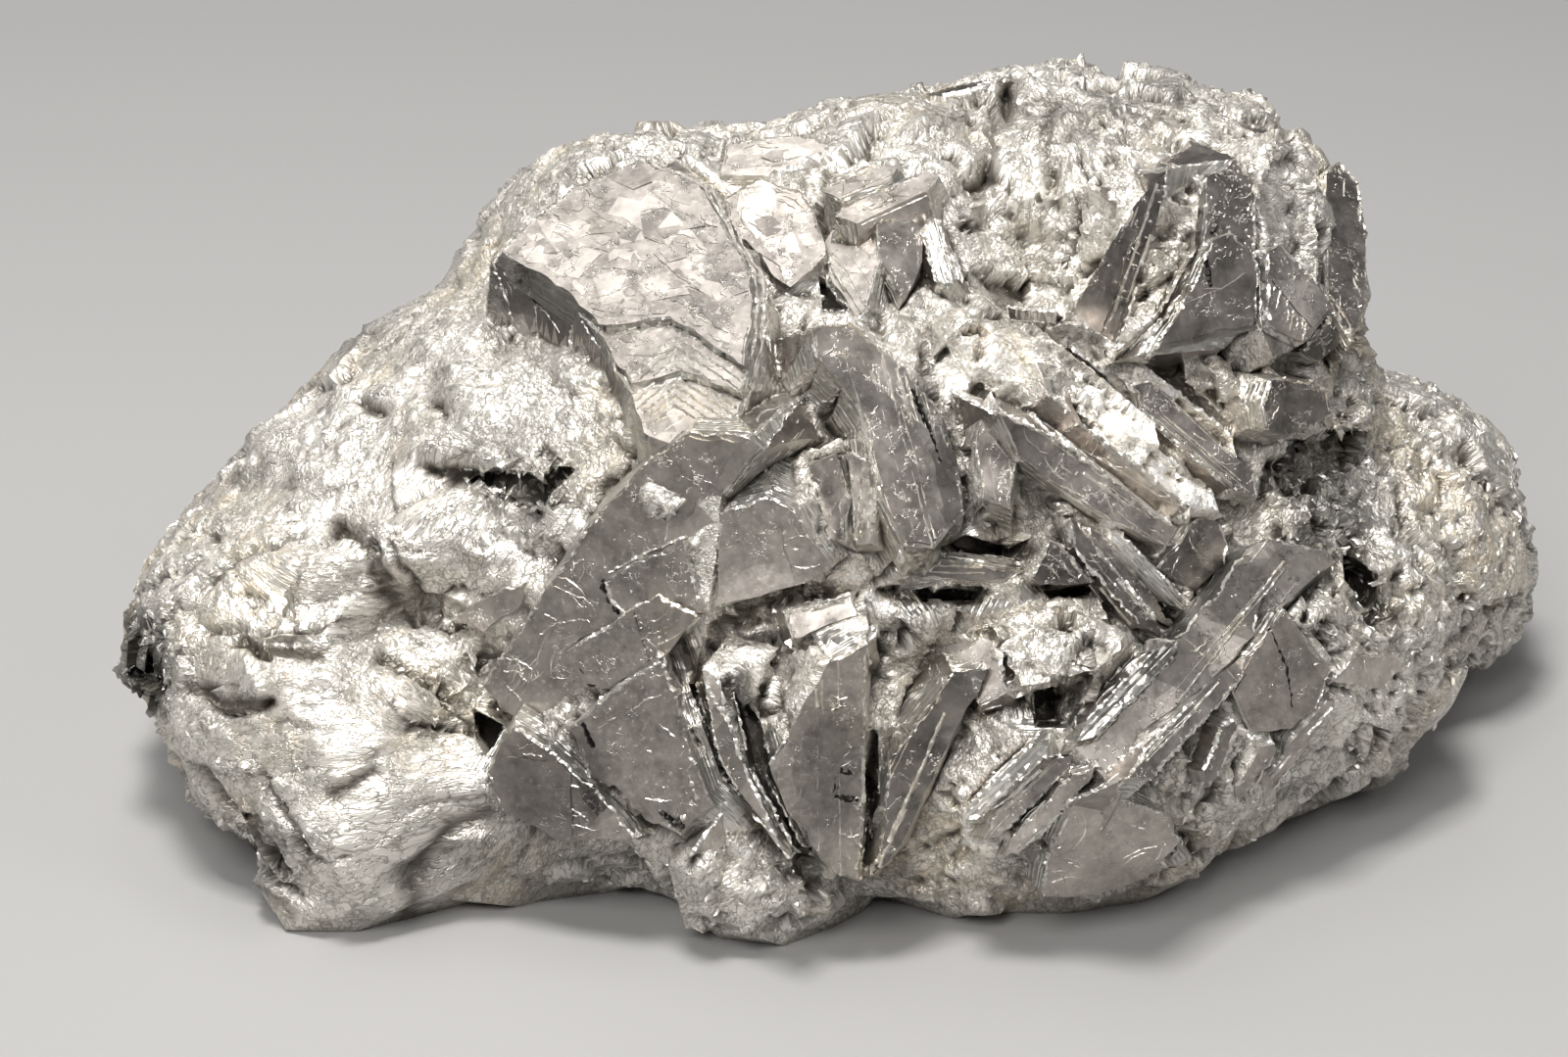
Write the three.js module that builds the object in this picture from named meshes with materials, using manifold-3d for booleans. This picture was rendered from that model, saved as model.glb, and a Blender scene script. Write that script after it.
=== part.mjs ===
// A pyrite cluster: one fused specimen of silvery, granular pyrite with flat crystal plates grown
// through its show side. Millimetres, +Z up. X runs along the specimen, Y towards its back.
// The origin is the middle of the specimen's box, on the surface that it lies on.
import * as THREE from "three";
import { mergeVertices } from "three/addons/utils/BufferGeometryUtils.js";
import { ImprovedNoise } from "three/addons/math/ImprovedNoise.js";
import Module from "manifold-3d";

const wasm = await Module();
wasm.setup();

// ---------------------------------------------------------------- driving dimensions
// The show side leans back. Every form on it is laid out as [across, up] on a plane that faces
// a viewpoint in front of the specimen, and as a depth out of that plane, towards the viewpoint.
const LEAN_BACK = THREE.MathUtils.degToRad(24);
const VIEW_DISTANCE = 230;
const PLANE_ORIGIN = new THREE.Vector3(-4.3, -2.4, 17);
const ROUGHNESS = 1; // how far the matrix's facets stand in or out
const BLADE_DEPTH = 4.5; // how far a thin blade goes into the matrix
const CLEAR = 9; // how far a cutter reaches out of the specimen
const FLARE = 0.3; // how far a plate's walls lean out for each millimetre of its thickness
const STEEPEST = 0.75; // the most that a plate's face follows the slope of the matrix under it

const UP = new THREE.Vector3(0, Math.sin(LEAN_BACK), Math.cos(LEAN_BACK));
const OUT = new THREE.Vector3(0, -Math.cos(LEAN_BACK), Math.sin(LEAN_BACK));
const EYE = PLANE_ORIGIN.clone().addScaledVector(OUT, VIEW_DISTANCE);
const noise = new ImprovedNoise();

// The point seen at [across, up] from the viewpoint, `out` in front of the layout plane.
function seen(across, up, out) {
  const shrink = 1 - out / VIEW_DISTANCE;
  return PLANE_ORIGIN.clone()
    .add(new THREE.Vector3(across * shrink, 0, 0))
    .addScaledVector(UP, up * shrink)
    .addScaledVector(OUT, out);
}

// ---------------------------------------------------------------- the granular matrix
// The matrix is one mass that swells into lumps. Each is an ellipsoid: its middle and half-sizes as
// [across, up, out], and its roll in degrees.
const LUMPS = [
  { name: "core", at: [2, 0, -3], half: [31, 20, 22], roll: 0 },
  { name: "crown", at: [24.2, 15.6, -4], half: [12.8, 12.6, 15], roll: -10 },
  { name: "middle brow", at: [8, 16.8, -6], half: [13, 10.9, 15], roll: 4 },
  { name: "shoulder", at: [-7.8, 14.6, -6], half: [14.4, 11.6, 14], roll: 18 },
  { name: "left slope", at: [-24.4, 3.2, -5], half: [20.4, 8.8, 13.5], roll: 38 },
  { name: "left end", at: [-35.2, -6.3, 0], half: [6.8, 7.8, 11], roll: -8 },
  { name: "left bulge", at: [-28.4, -13.5, 6], half: [13, 8.8, 11], roll: -32 },
  { name: "left foot", at: [-27.7, -20.6, 9.5], half: [6.4, 6, 8], roll: -20 },
  { name: "left belly", at: [-16.5, -17.2, 7], half: [9, 7.4, 8.5], roll: 0 },
  { name: "front belly", at: [-3, -13.5, 8], half: [16, 9.5, 12], roll: -4 },
  { name: "front foot", at: [-1.4, -21.8, 11], half: [6, 6, 7.5], roll: 12 },
  { name: "right belly", at: [17, -14.6, 6.5], half: [15.6, 11, 12.5], roll: 14 },
  { name: "right flank", at: [30.6, -8.2, 0], half: [12.8, 10.4, 13], roll: 28 },
  { name: "right cheek", at: [29.6, 8, -4], half: [8, 14, 13.5], roll: 0 },
  { name: "back knob", at: [38.6, -0.4, -15], half: [9.3, 10.4, 11], roll: 14 },
  { name: "back", at: [3, 0, -17], half: [33, 16, 12.5], roll: 6 },
  { name: "back heel", at: [-18, -6, -12], half: [15, 9, 10], roll: 20 },
  { name: "peak", at: [17, 27, -6], half: [3, 3.2, 6], roll: 0 },
  { name: "crest", at: [24.6, 26, -7], half: [6.2, 2.8, 7], roll: -8 },
  { name: "notch side", at: [11.6, 26.2, -7], half: [2.4, 2.5, 6], roll: 20 },
  { name: "left lens", at: [-30.6, -3.1, 8.8], half: [5.4, 2.8, 3.6], roll: -4 },
  { name: "right lens", at: [-22.9, -0.8, 9.8], half: [4.6, 3, 3.8], roll: 18 },
  { name: "lens ledge", at: [-35, -9, 9.4], half: [4, 1.5, 2.6], roll: -6 },
  { name: "bright knob", at: [33, 0.8, 8], half: [2.6, 1.8, 3.6], roll: 10 },
];
const BLEND = 0.8; // how softly the lumps run into each other
const SPINE = 22; // the mass is built outwards from a line this long each way across its middle
const SPINE_AT = [0, -1, -4];
const FACET_ROWS = 13; // facets along each edge of the twenty-sided figure that the mass starts as
const FINER_FRONT = 0.45; // draws that figure's points towards the show side

function turned(across, up, roll) {
  const turn = THREE.MathUtils.degToRad(roll);
  return [across * Math.cos(turn) - up * Math.sin(turn), across * Math.sin(turn) + up * Math.cos(turn)];
}

// How far [across, up, out] lies outside one ellipsoid, below zero inside it.
function gapTo({ at, half, roll }, across, up, out) {
  const [x, y] = turned(across - at[0], up - at[1], -roll);
  const scaled = Math.hypot(x / half[0], y / half[1], (out - at[2]) / half[2]);
  return Math.hypot(x, y, out - at[2]) * (1 - 1 / Math.max(scaled, 0.05));
}

// The same for the whole mass of lumps.
function gap(across, up, out) {
  const shares = LUMPS.map((one) => Math.exp(-gapTo(one, across, up, out) / BLEND));
  return -BLEND * Math.log(shares.reduce((sum, share) => sum + share) + 1e-300);
}

// The first place on a line, from its far end in, where the mass starts.
function surfaceOn(placeAt, far, near) {
  let distance = far;
  while (distance > near && gap(...placeAt(distance)) > 0) distance -= 0.5;
  let [low, high] = [distance, distance + 0.5];
  for (let i = 0; i < 12; i++) {
    const half = (low + high) / 2;
    if (gap(...placeAt(half)) > 0) high = half;
    else low = half;
  }
  return low;
}

// How far the mass stands out of the layout plane at [across, up].
function front(across, up) {
  return surfaceOn((out) => [across, up, out], 26, -14);
}

// Crumpled relief of the matrix at a place in the specimen: swells, with creases between them.
function crumple({ x, y, z }) {
  const swell = noise.noise(x / 7 + 11, y / 7, z / 7);
  const crease = Math.abs(noise.noise(x / 4.2, y / 4.2 + 5, z / 4.2));
  const grit = noise.noise(x / 2.1 + 3, y / 2.1, z / 2.1);
  return ROUGHNESS * (1.2 * swell + 1.6 * crease + 0.7 * grit - 0.5);
}

// A closed geometry as a solid.
function solidOf(geometry) {
  const loose = geometry.index ? geometry.toNonIndexed() : geometry;
  const bare = new THREE.BufferGeometry().setAttribute("position", loose.getAttribute("position"));
  const merged = mergeVertices(bare, 1e-4);
  return new wasm.Manifold(
    new wasm.Mesh({
      numProp: 3,
      vertProperties: new Float32Array(merged.attributes.position.array),
      triVerts: new Uint32Array(merged.index.array),
    }),
  );
}

// Moves each vertex of a geometry to where `place` puts it.
function remap(geometry, place) {
  const position = geometry.getAttribute("position");
  const point = new THREE.Vector3();
  for (let i = 0; i < position.count; i++) {
    point.fromBufferAttribute(position, i);
    const moved = place(point);
    position.setXYZ(i, moved.x, moved.y, moved.z);
  }
  return geometry;
}

// The whole matrix: a faceted figure whose points are moved out onto the mass.
function matrix() {
  return remap(new THREE.IcosahedronGeometry(1, FACET_ROWS - 1), (p) => {
    const heading = new THREE.Vector3(p.x, p.y, p.z + FINER_FRONT).normalize();
    const start = [SPINE_AT[0] + heading.x * SPINE, SPINE_AT[1], SPINE_AT[2]];
    const placeAt = (distance) => [
      start[0] + heading.x * distance,
      start[1] + heading.y * distance,
      start[2] + heading.z * distance,
    ];
    const distance = surfaceOn(placeAt, 45, 1);
    return seen(...placeAt(distance + crumple(seen(...placeAt(distance)))));
  });
}

// A crumpled ellipsoid for scooping out a hollow.
function scoop({ at, above, half, roll }) {
  const out = front(...at) + above;
  return remap(new THREE.IcosahedronGeometry(1, 4), (p) => {
    const [x, y] = turned(p.x * half[0], p.y * half[1], roll);
    const place = seen(at[0] + x, at[1] + y, out + p.z * half[2]);
    return place.addScaledVector(OUT, -crumple(place));
  });
}

// ---------------------------------------------------------------- plates and clefts
function middleOf(outline) {
  return [0, 1].map((k) => outline.reduce((sum, p) => sum + p[k], 0) / outline.length);
}

// A plane that follows the matrix under an outline, `proud` of it. `tilt` is added to its slope:
// how much nearer the viewpoint it comes for each millimetre across and up.
function planeOver(outline, proud, tilt) {
  const [across, up] = middleOf(outline);
  const reach = 2.5;
  const slope = [
    (front(across + reach, up) - front(across - reach, up)) / (2 * reach),
    (front(across, up + reach) - front(across, up - reach)) / (2 * reach),
  ].map((s, k) => THREE.MathUtils.clamp(s, -STEEPEST, STEEPEST) + tilt[k]);
  const height = front(across, up) + proud;
  const corner = seen(across, up, height);
  const aside = seen(across + 1, up, height + slope[0]);
  const above = seen(across, up + 1, height + slope[1]);
  return new THREE.Plane().setFromCoplanarPoints(corner, aside, above);
}

// Where the line of sight through [across, up] meets a plane.
function onPlane(plane, across, up) {
  const sight = new THREE.Ray(EYE, seen(across, up, 0).sub(EYE).normalize());
  return sight.intersectPlane(plane, new THREE.Vector3());
}

function prism(outline) {
  const shape = new THREE.Shape(outline.map(([x, y]) => new THREE.Vector2(x, y)));
  return new THREE.ExtrudeGeometry(shape, { depth: 1, bevelEnabled: false, steps: 1 });
}

// An outline's points moved outwards by `distance`, each along the mean of its two edges' normals.
function widened(outline, distance) {
  const turnsLeft = THREE.ShapeUtils.area(outline.map(([x, y]) => new THREE.Vector2(x, y))) > 0;
  const edgeNormal = ([x0, y0], [x1, y1]) => {
    const length = Math.hypot(x1 - x0, y1 - y0) * (turnsLeft ? 1 : -1);
    return [(y1 - y0) / length, (x0 - x1) / length];
  };
  return outline.map((point, i) => {
    const before = edgeNormal(outline.at(i - 1), point);
    const after = edgeNormal(point, outline[(i + 1) % outline.length]);
    const sum = Math.max(Math.hypot(before[0] + after[0], before[1] + after[1]), 0.8);
    return point.map((value, k) => value + (distance * (before[k] + after[k])) / sum);
  });
}

// A plate with a flat face on `plane`, raised by `rise`, that goes `thick` into the matrix. Its walls
// flare out on the way in, by FLARE all round and by `lean`, [across, up], to one side.
function plate(outline, plane, thick, rise, lean) {
  const foot = widened(outline, FLARE * thick);
  const corner = ({ x, y }) => {
    const misses = outline.map(([px, py]) => Math.hypot(px - x, py - y));
    return foot[misses.indexOf(Math.min(...misses))];
  };
  return solidOf(
    remap(prism(outline), (p) => {
      if (p.z > 0.5) return onPlane(plane, p.x, p.y).addScaledVector(plane.normal, rise);
      const [across, up] = corner(p);
      return onPlane(plane, across + lean[0], up + lean[1]).addScaledVector(plane.normal, rise - thick);
    }),
  );
}

// A cutter that goes `deep` into the specimen under its outline, narrower at its floor.
function cleft({ outline, deep, narrow = 0.55 }) {
  const plane = planeOver(outline, 0, [0, 0]);
  const middle = middleOf(outline);
  return solidOf(
    remap(prism(outline), (p) => {
      const share = p.z > 0.5 ? 1 : narrow;
      const x = middle[0] + (p.x - middle[0]) * share;
      const y = middle[1] + (p.y - middle[1]) * share;
      return onPlane(plane, x, y).addScaledVector(OUT, p.z > 0.5 ? CLEAR : -deep);
    }),
  );
}

// The outline of a thin blade from one end to the other, pointed at both.
function blade([x0, y0], [x1, y1], width) {
  const length = Math.hypot(x1 - x0, y1 - y0);
  const side = [(-(y1 - y0) / length) * width * 0.5, ((x1 - x0) / length) * width * 0.5];
  const at = (share, aside) => [
    x0 + (x1 - x0) * share + side[0] * aside,
    y0 + (y1 - y0) * share + side[1] * aside,
  ];
  return [at(0, 0.3), at(0.15, -1), at(0.86, -1), at(1, -0.1), at(0.9, 1), at(0.08, 1)];
}

// Each plate has an outline, how far it stands proud of the matrix, and its tilt, both as above.
// One with `on` lies on the face of that plate instead, raised by `rise`.
const PLATES = [
  // upper left: the great slab, with chevron steps down its face, and the plates beside it
  { name: "great slab", proud: 2.6, tilt: [-0.1, -0.15], thick: 7, lean: [-0.6, -1.6],
    outline: [[-18.7, 17], [-16, 16.5], [-13.5, 14.3], [-11.6, 11.9], [-9.9, 8.6], [-8.6, 5.9],
      [-7.2, 5.4], [-2.8, 7.5], [-1.3, 12], [-1.2, 15.5], [-3.2, 19.5], [-4.8, 22], [-9, 23.6],
      [-13, 21.8], [-17, 18.9]] },
  { name: "slab's lower terrace", on: "great slab", rise: 0.5,
    outline: [[-18.3, 17], [-16, 16.2], [-13.3, 14.2], [-11.4, 11.8], [-9.6, 8.9], [-6.5, 9.8],
      [-2.6, 8.3],
      [-1.6, 12], [-1.5, 15.4], [-3.5, 19.3], [-5, 21.6], [-9, 23.2], [-13, 21.4], [-16.8, 18.7]] },
  { name: "slab's upper terrace", on: "great slab", rise: 1,
    outline: [[-17.8, 16.9], [-16, 16], [-13.1, 14.1], [-11.5, 12.3], [-6.9, 12.8], [-2.3, 9.8],
      [-1.9, 12],
      [-1.8, 15.3], [-3.8, 19.1], [-5.2, 21.2], [-9, 22.8], [-13, 21], [-16.4, 18.5]] },
  { name: "nose plate", proud: 2.4, tilt: [0.05, -0.1], thick: 5, lean: [-0.5, -1.2],
    outline: [[-3.5, 19.3], [-3.8, 21], [-1.5, 22.4], [1, 21.5], [2.3, 19.5], [2.6, 17.6], [1.7, 16.5],
      [0.3, 15.4], [-0.7, 16.1], [-1.5, 17.6]] },
  { name: "sheet", proud: 1.6, tilt: [0, -0.5], thick: 4,
    outline: [[-4, 22.6], [-3.5, 24.6], [1, 25.2], [3, 24.5], [2.4, 23.2], [-1, 22.6]] },
  { name: "left leaf", proud: 1.5, tilt: [0.35, 0], thick: 4,
    outline: [[2.6, 18.2], [3.6, 19.3], [5.5, 19.2], [6, 17], [5.4, 14], [4.7, 13.5], [3, 16.2]] },
  { name: "right leaf", proud: 1.4, tilt: [-0.4, 0], thick: 4,
    outline: [[5.9, 19.5], [7.6, 20], [8.9, 19.2], [8.8, 17], [7.6, 14.6], [6.2, 17]] },
  { name: "upper rib", proud: 1.8, tilt: [0, -0.3], thick: 4,
    outline: blade([2.6, 21.3], [7.2, 23.1], 1.3) },
  { name: "lower rib", proud: 1.9, tilt: [0, -0.3], thick: 4,
    outline: blade([3.4, 19.6], [9.8, 22.6], 1.3) },
  { name: "side rib", proud: 1.5, tilt: [0.3, 0], thick: 4,
    outline: blade([9.1, 19.9], [10.5, 15.3], 1.2) },

  // crown: the dark crystals under the right end of the ridge
  { name: "long leaf", proud: 1.7, tilt: [0.45, 0.1], thick: 5,
    outline: [[24.6, 23], [24.2, 21], [22.3, 15.5], [20.7, 11.3], [19, 11.3], [18.6, 14], [20.5, 17.5],
      [22.2, 20.3]] },
  { name: "granular strip", proud: 2.4, tilt: [0.1, 0], thick: 5,
    outline: [[24.8, 23.3], [26.5, 22.5], [26.2, 18], [23.8, 13.6], [21.2, 11.3], [22.6, 15.5],
      [24.3, 20.5]] },
  { name: "dark crystal", proud: 2.2, tilt: [-0.15, 0.15], thick: 6,
    outline: [[27, 22.5], [28.8, 23.6], [30, 22], [30, 13.5], [28, 11.5], [22.5, 11], [25, 14.5],
      [26.6, 17.5]] },
  { name: "dark crystal's step", on: "dark crystal", rise: 0.6,
    outline: [[25.5, 15], [27, 18.3], [28.3, 18.8], [29.9, 17], [29.8, 12.8], [25.5, 11.8],
      [23.2, 11.3]] },
  { name: "right crystal", proud: 2, tilt: [0.1, 0.1], thick: 6,
    outline: [[30.5, 19], [30.2, 22.3], [31.5, 25], [32.7, 25.2], [33.9, 23], [33.9, 15], [34.8, 13.8],
      [32.6, 11.5], [31.2, 11], [30.3, 12.8]] },
  { name: "right crystal's step", on: "right crystal", rise: 0.6,
    outline: [[30.5, 12.9], [30.3, 17.6], [31.3, 17.9], [33.7, 15.3], [34.6, 13.8], [32.6, 11.7]] },
  { name: "right column", proud: 1.2, tilt: [0.2, 0], thick: 6,
    outline: [[34.6, 14.5], [34.4, 22.6], [35.4, 23.4], [36.6, 22], [37.1, 19], [37, 15], [36.2, 12]] },
  { name: "small plate", proud: 1.6, tilt: [-0.2, 0.2], thick: 4,
    outline: [[33, 11.3], [35, 13.5], [35.6, 12], [34.3, 10.8]] },

  // left: a pale plate at the foot of the lenses
  { name: "pale plate", proud: 0.9, tilt: [-0.1, -0.2], thick: 3,
    outline: [[-21.3, -5.8], [-19.5, -4.7], [-16.5, -3.5], [-17, -5], [-19, -6.5]] },

  // centre left: the great dark plate with its steps, and the plates stacked on and under it
  { name: "great plate", proud: 2.2, tilt: [0.05, 0.1], thick: 8, lean: [-0.6, -0.9],
    outline: [[-19.2, -10], [-15.3, -4], [-11.9, 1], [-9, 4], [-6, 6.2], [-2, 5.9], [-1.5, 5.2], [-4, 2],
      [-4.5, -3], [-5.5, -9], [-7.5, -17], [-9.5, -18.9], [-12, -17], [-15, -14.3]] },
  { name: "grey facet", proud: 2.6, tilt: [-0.15, -0.2], thick: 4,
    outline: [[-9, 2.4], [-6, 6.1], [-2, 6], [-1.5, 5.5], [-4, 3], [-7.5, 1.3]] },
  { name: "upper step", on: "great plate", rise: 0.55,
    outline: [[-11.6, -3.2], [-6.3, -0.8], [-5.8, -2.8], [-4.9, -5.3], [-10.3, -5.5]] },
  { name: "middle step", on: "great plate", rise: 0.8,
    outline: [[-13.9, -7.9], [-7.8, -4], [-5.2, -5.6], [-7.2, -7.8], [-10.5, -10], [-12.3, -9.8]] },
  { name: "bright-edged plate", on: "great plate", rise: 1.7, thick: 5, lean: [-0.7, -0.8],
    outline: [[-13, -12.3], [-10.5, -10], [-7.2, -7.8], [-6, -11.5], [-3.9, -17.2], [-6, -19], [-8, -18],
      [-11, -15]] },
  { name: "under plate", proud: 1.4, tilt: [0.1, 0.15], thick: 6, lean: [-0.4, -0.5],
    outline: [[-17.3, -12.7], [-18.9, -15.6], [-18, -18], [-14, -20], [-9.5, -19.8], [-12, -16.8],
      [-15, -14]] },
  { name: "middle plate", proud: 2.6, tilt: [0.05, 0.25], thick: 6,
    outline: [[-6, -0.7], [-3.5, 1.2], [-1, 2], [1, 1], [2, -1], [3, -2.5], [1.5, -3.3], [-1.5, -4.2],
      [-4.7, -5.2], [-5.9, -2.5]] },
  { name: "yellowish sheet", proud: 2.2, tilt: [0, -0.5], thick: 4,
    outline: [[0.4, -7.4], [5.9, -6.1], [5.8, -7], [4, -8.2], [1.6, -8.5]] },
  { name: "grey chip", proud: 2.2, tilt: [0, -0.35], thick: 4,
    outline: [[0, -5.3], [4.3, -4.2], [4.6, -5.5], [0.5, -7]] },

  // front: plates that fan up from one point at the foot
  { name: "fan strip", proud: 1.9, tilt: [0.5, 0], thick: 5,
    outline: [[-5.2, -9], [-4.3, -9.6], [-2.7, -15], [-0.9, -19], [0.4, -21], [-2, -18.4],
      [-4.2, -14.3]] },
  { name: "fan triangle", proud: 2.2, tilt: [0.12, 0.12], thick: 6,
    outline: [[5.4, -7.2], [3, -8.5], [0, -13.5], [-1, -15], [0.2, -18], [3, -22], [4.8, -22.5],
      [5.1, -17],
      [5.1, -10]] },
  { name: "fan curve", proud: 2, tilt: [-0.15, 0.12], thick: 6,
    outline: [[13, -9], [11, -9.2], [8, -13], [6.7, -15], [6.6, -18], [5.6, -22.2], [7.5, -20],
      [9.5, -16],
      [11.5, -11.6]] },

  // centre: the tall plate and the shards around the open cavity
  { name: "tall plate", proud: 2.4, tilt: [-0.12, 0.12], thick: 6,
    outline: [[1.8, 12.8], [4.2, 13], [7.5, 10.3], [10, 7.5], [11.2, 3], [11.5, 1], [9.5, -1.3],
      [7.7, -1.2], [6, 2.5], [5.3, 7], [3.8, 9.2], [2.3, 10.8]] },
  { name: "inner shard", proud: 1.7, tilt: [0.4, 0], thick: 4,
    outline: [[4, 4.7], [5.5, 4.3], [6, 2.5], [5.6, -1], [4.5, -1]] },
  { name: "outer shard", proud: 1.5, tilt: [0.4, 0], thick: 4,
    outline: [[1.5, 4.2], [3.2, 4.6], [3.8, 2], [3.6, -0.8], [2.4, -0.5]] },
  { name: "small blade", proud: 2, tilt: [0.2, 0.1], thick: 4,
    outline: [[13.2, 8.8], [12.1, 5.5], [12.5, 2], [14.5, 1.2], [14.9, 5.5], [14, 7.3]] },
  { name: "long blade", proud: 2.6, tilt: [0.1, 0.35], thick: 5,
    outline: [[13.8, 7.3], [17, 5.9], [21, 3], [25, 0], [24.4, -1.2], [21, 0.6], [18, 2.6], [15, 4.7]] },
  { name: "oval plate", proud: 1.6, tilt: [-0.1, 0.2], thick: 5,
    outline: [[26.5, 0.9], [27.8, 0.2], [28.3, -1], [28, -2.5], [26.3, -3.8], [23.8, -2.6], [25.2, -1]] },

  // lower right: long blades that run down to the left, and the plates between them
  { name: "granular plate", proud: 2, tilt: [0, -0.1], thick: 6,
    outline: [[13, -6], [16, -5.3], [19, -5.5], [19.7, -9], [17, -9.8], [15, -10]] },
  { name: "bright chip", proud: 2.2, tilt: [-0.2, -0.3], thick: 5,
    outline: [[19.3, -6.3], [20.1, -5.6], [22.3, -7], [20, -9]] },
  { name: "block tip", proud: 2.2, tilt: [0.2, 0], thick: 5,
    outline: [[10.8, -8.2], [12.5, -7], [13.2, -7.3], [14.2, -10.5], [12.4, -11.2]] },
  { name: "diagonal blade", proud: 2.8, tilt: [-0.1, 0.15], thick: 7, lean: [0.2, -0.6],
    outline: [[30, -1], [31, -0.6], [34.5, -1.2], [35, -2.2], [30.5, -6], [25, -12.5], [21.5, -17],
      [18.5, -14], [24.5, -7.8]] },
  { name: "diagonal blade's rib", on: "diagonal blade", rise: 0.7,
    outline: blade([24.9, -7.2], [18.4, -13.9], 1) },
  { name: "second rib", proud: 2.4, tilt: [-0.1, -0.1], thick: 6,
    outline: [[31, -5.5], [29.3, -8], [24, -13], [22, -15.8], [23.4, -15.9], [26.4, -12.6], [30, -8.6]] },
  { name: "rhomb", proud: 1.7, tilt: [0, 0.1], thick: 5,
    outline: [[31.8, -5.2], [34.8, -9], [33.8, -11.5], [32.3, -12.8], [29.8, -13], [28.6, -10.5],
      [29.5, -8.3]] },
  { name: "foot face", proud: 1.3, tilt: [0, 0.05], thick: 5,
    outline: [[17, -20.5], [18, -18], [20, -16.5], [24.5, -18.5], [25, -20], [23.5, -22], [20, -23.5],
      [16.5, -23.4]] },

  // right: the blocks around the pitted hollow
  { name: "upper block", proud: 2.2, tilt: [-0.1, 0], thick: 5,
    outline: [[31, 9.5], [32, 9.7], [34.5, 9], [34.9, 7.5], [32.3, 6], [30.8, 6.5], [30.5, 8]] },
  { name: "side block", proud: 1.2, tilt: [0.2, 0], thick: 6,
    outline: [[35, 2], [37.3, 4.6], [38.5, 3.2], [39, 1], [38.5, -0.5], [37, -1.2], [35.8, 1]] },
  { name: "lower block", proud: 1, tilt: [0.2, 0], thick: 5,
    outline: [[35, 0], [36.8, -1.2], [39.4, -2], [38.5, -2.7], [36, -3], [35.2, -1.5]] },
  { name: "hollow plate", proud: 1.4, tilt: [0.2, 0.3], thick: 4,
    outline: [[-7.4, -21.6], [-6, -21], [-4.6, -24.6], [-5.2, -26.2], [-6.3, -25.6]] },
];

// Shards that bridge the open cavity after it is cut.
const INNER_PLATES = [
  { name: "cavity shelf", proud: -0.2, tilt: [0, -0.3], thick: 1.6,
    outline: [[7, -1.9], [10.4, -2], [15.4, -2.7], [14, -3.3], [8.6, -3.1]] },
  { name: "cavity tip", proud: 1.4, tilt: [0.1, 0], thick: 4,
    outline: [[15.9, -3.2], [17, -0.5], [19.9, -3.4], [16.3, -3.7]] },
  { name: "cavity step", proud: 1.4, tilt: [0, -0.2], thick: 5,
    outline: [[16.8, -4.9], [20, -4.4], [20.7, -5.8], [17.4, -6.1]] },
];

// Thin blades that lie side by side: both ends of each, with the width and height of the set.
const SPRAYS = [
  { name: "blades right of centre", width: 1.7, proud: 2, tilt: [0.1, 0.2],
    ends: [[[14.6, 13], [24, 5.4]], [[17.2, 13.6], [27, 6]], [[20, 11.6], [29, 4.4]], [[16, 10.4],
      [25.2, 3]],
      [[22, 9.4], [30.2, 2.2]], [[25.4, 10.9], [30.4, 6.2]], [[18, 8.6], [27.8, 1]], [[10.6, 13.6],
      [15.4, 9.4]]] },
  { name: "blades beside the cavity", width: 1, proud: 2.2, tilt: [0.2, 0.2],
    ends: [[[18, 0.2], [24, -7]], [[19.4, -0.2], [25, -6.4]], [[20.8, -0.4], [25.5, -5.2]]] },
  { name: "ribs at the foot", width: 1, proud: 1.9, tilt: [0.1, -0.1],
    ends: [[[16.8, -13.6], [11.5, -18.6]], [[18.3, -14.4], [12.8, -19.8]], [[19.6, -15.2], [14, -21]]] },
  { name: "sticks", width: 0.9, proud: 1.4, tilt: [0.1, 0],
    ends: [[[28.6, -12.2], [27, -16.2]], [[35, -10.8], [31.8, -14.4]], [[31.2, -13.6], [29, -17.2]],
      [[33.4, -13.2], [30.4, -16.8]]] },
];

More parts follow.
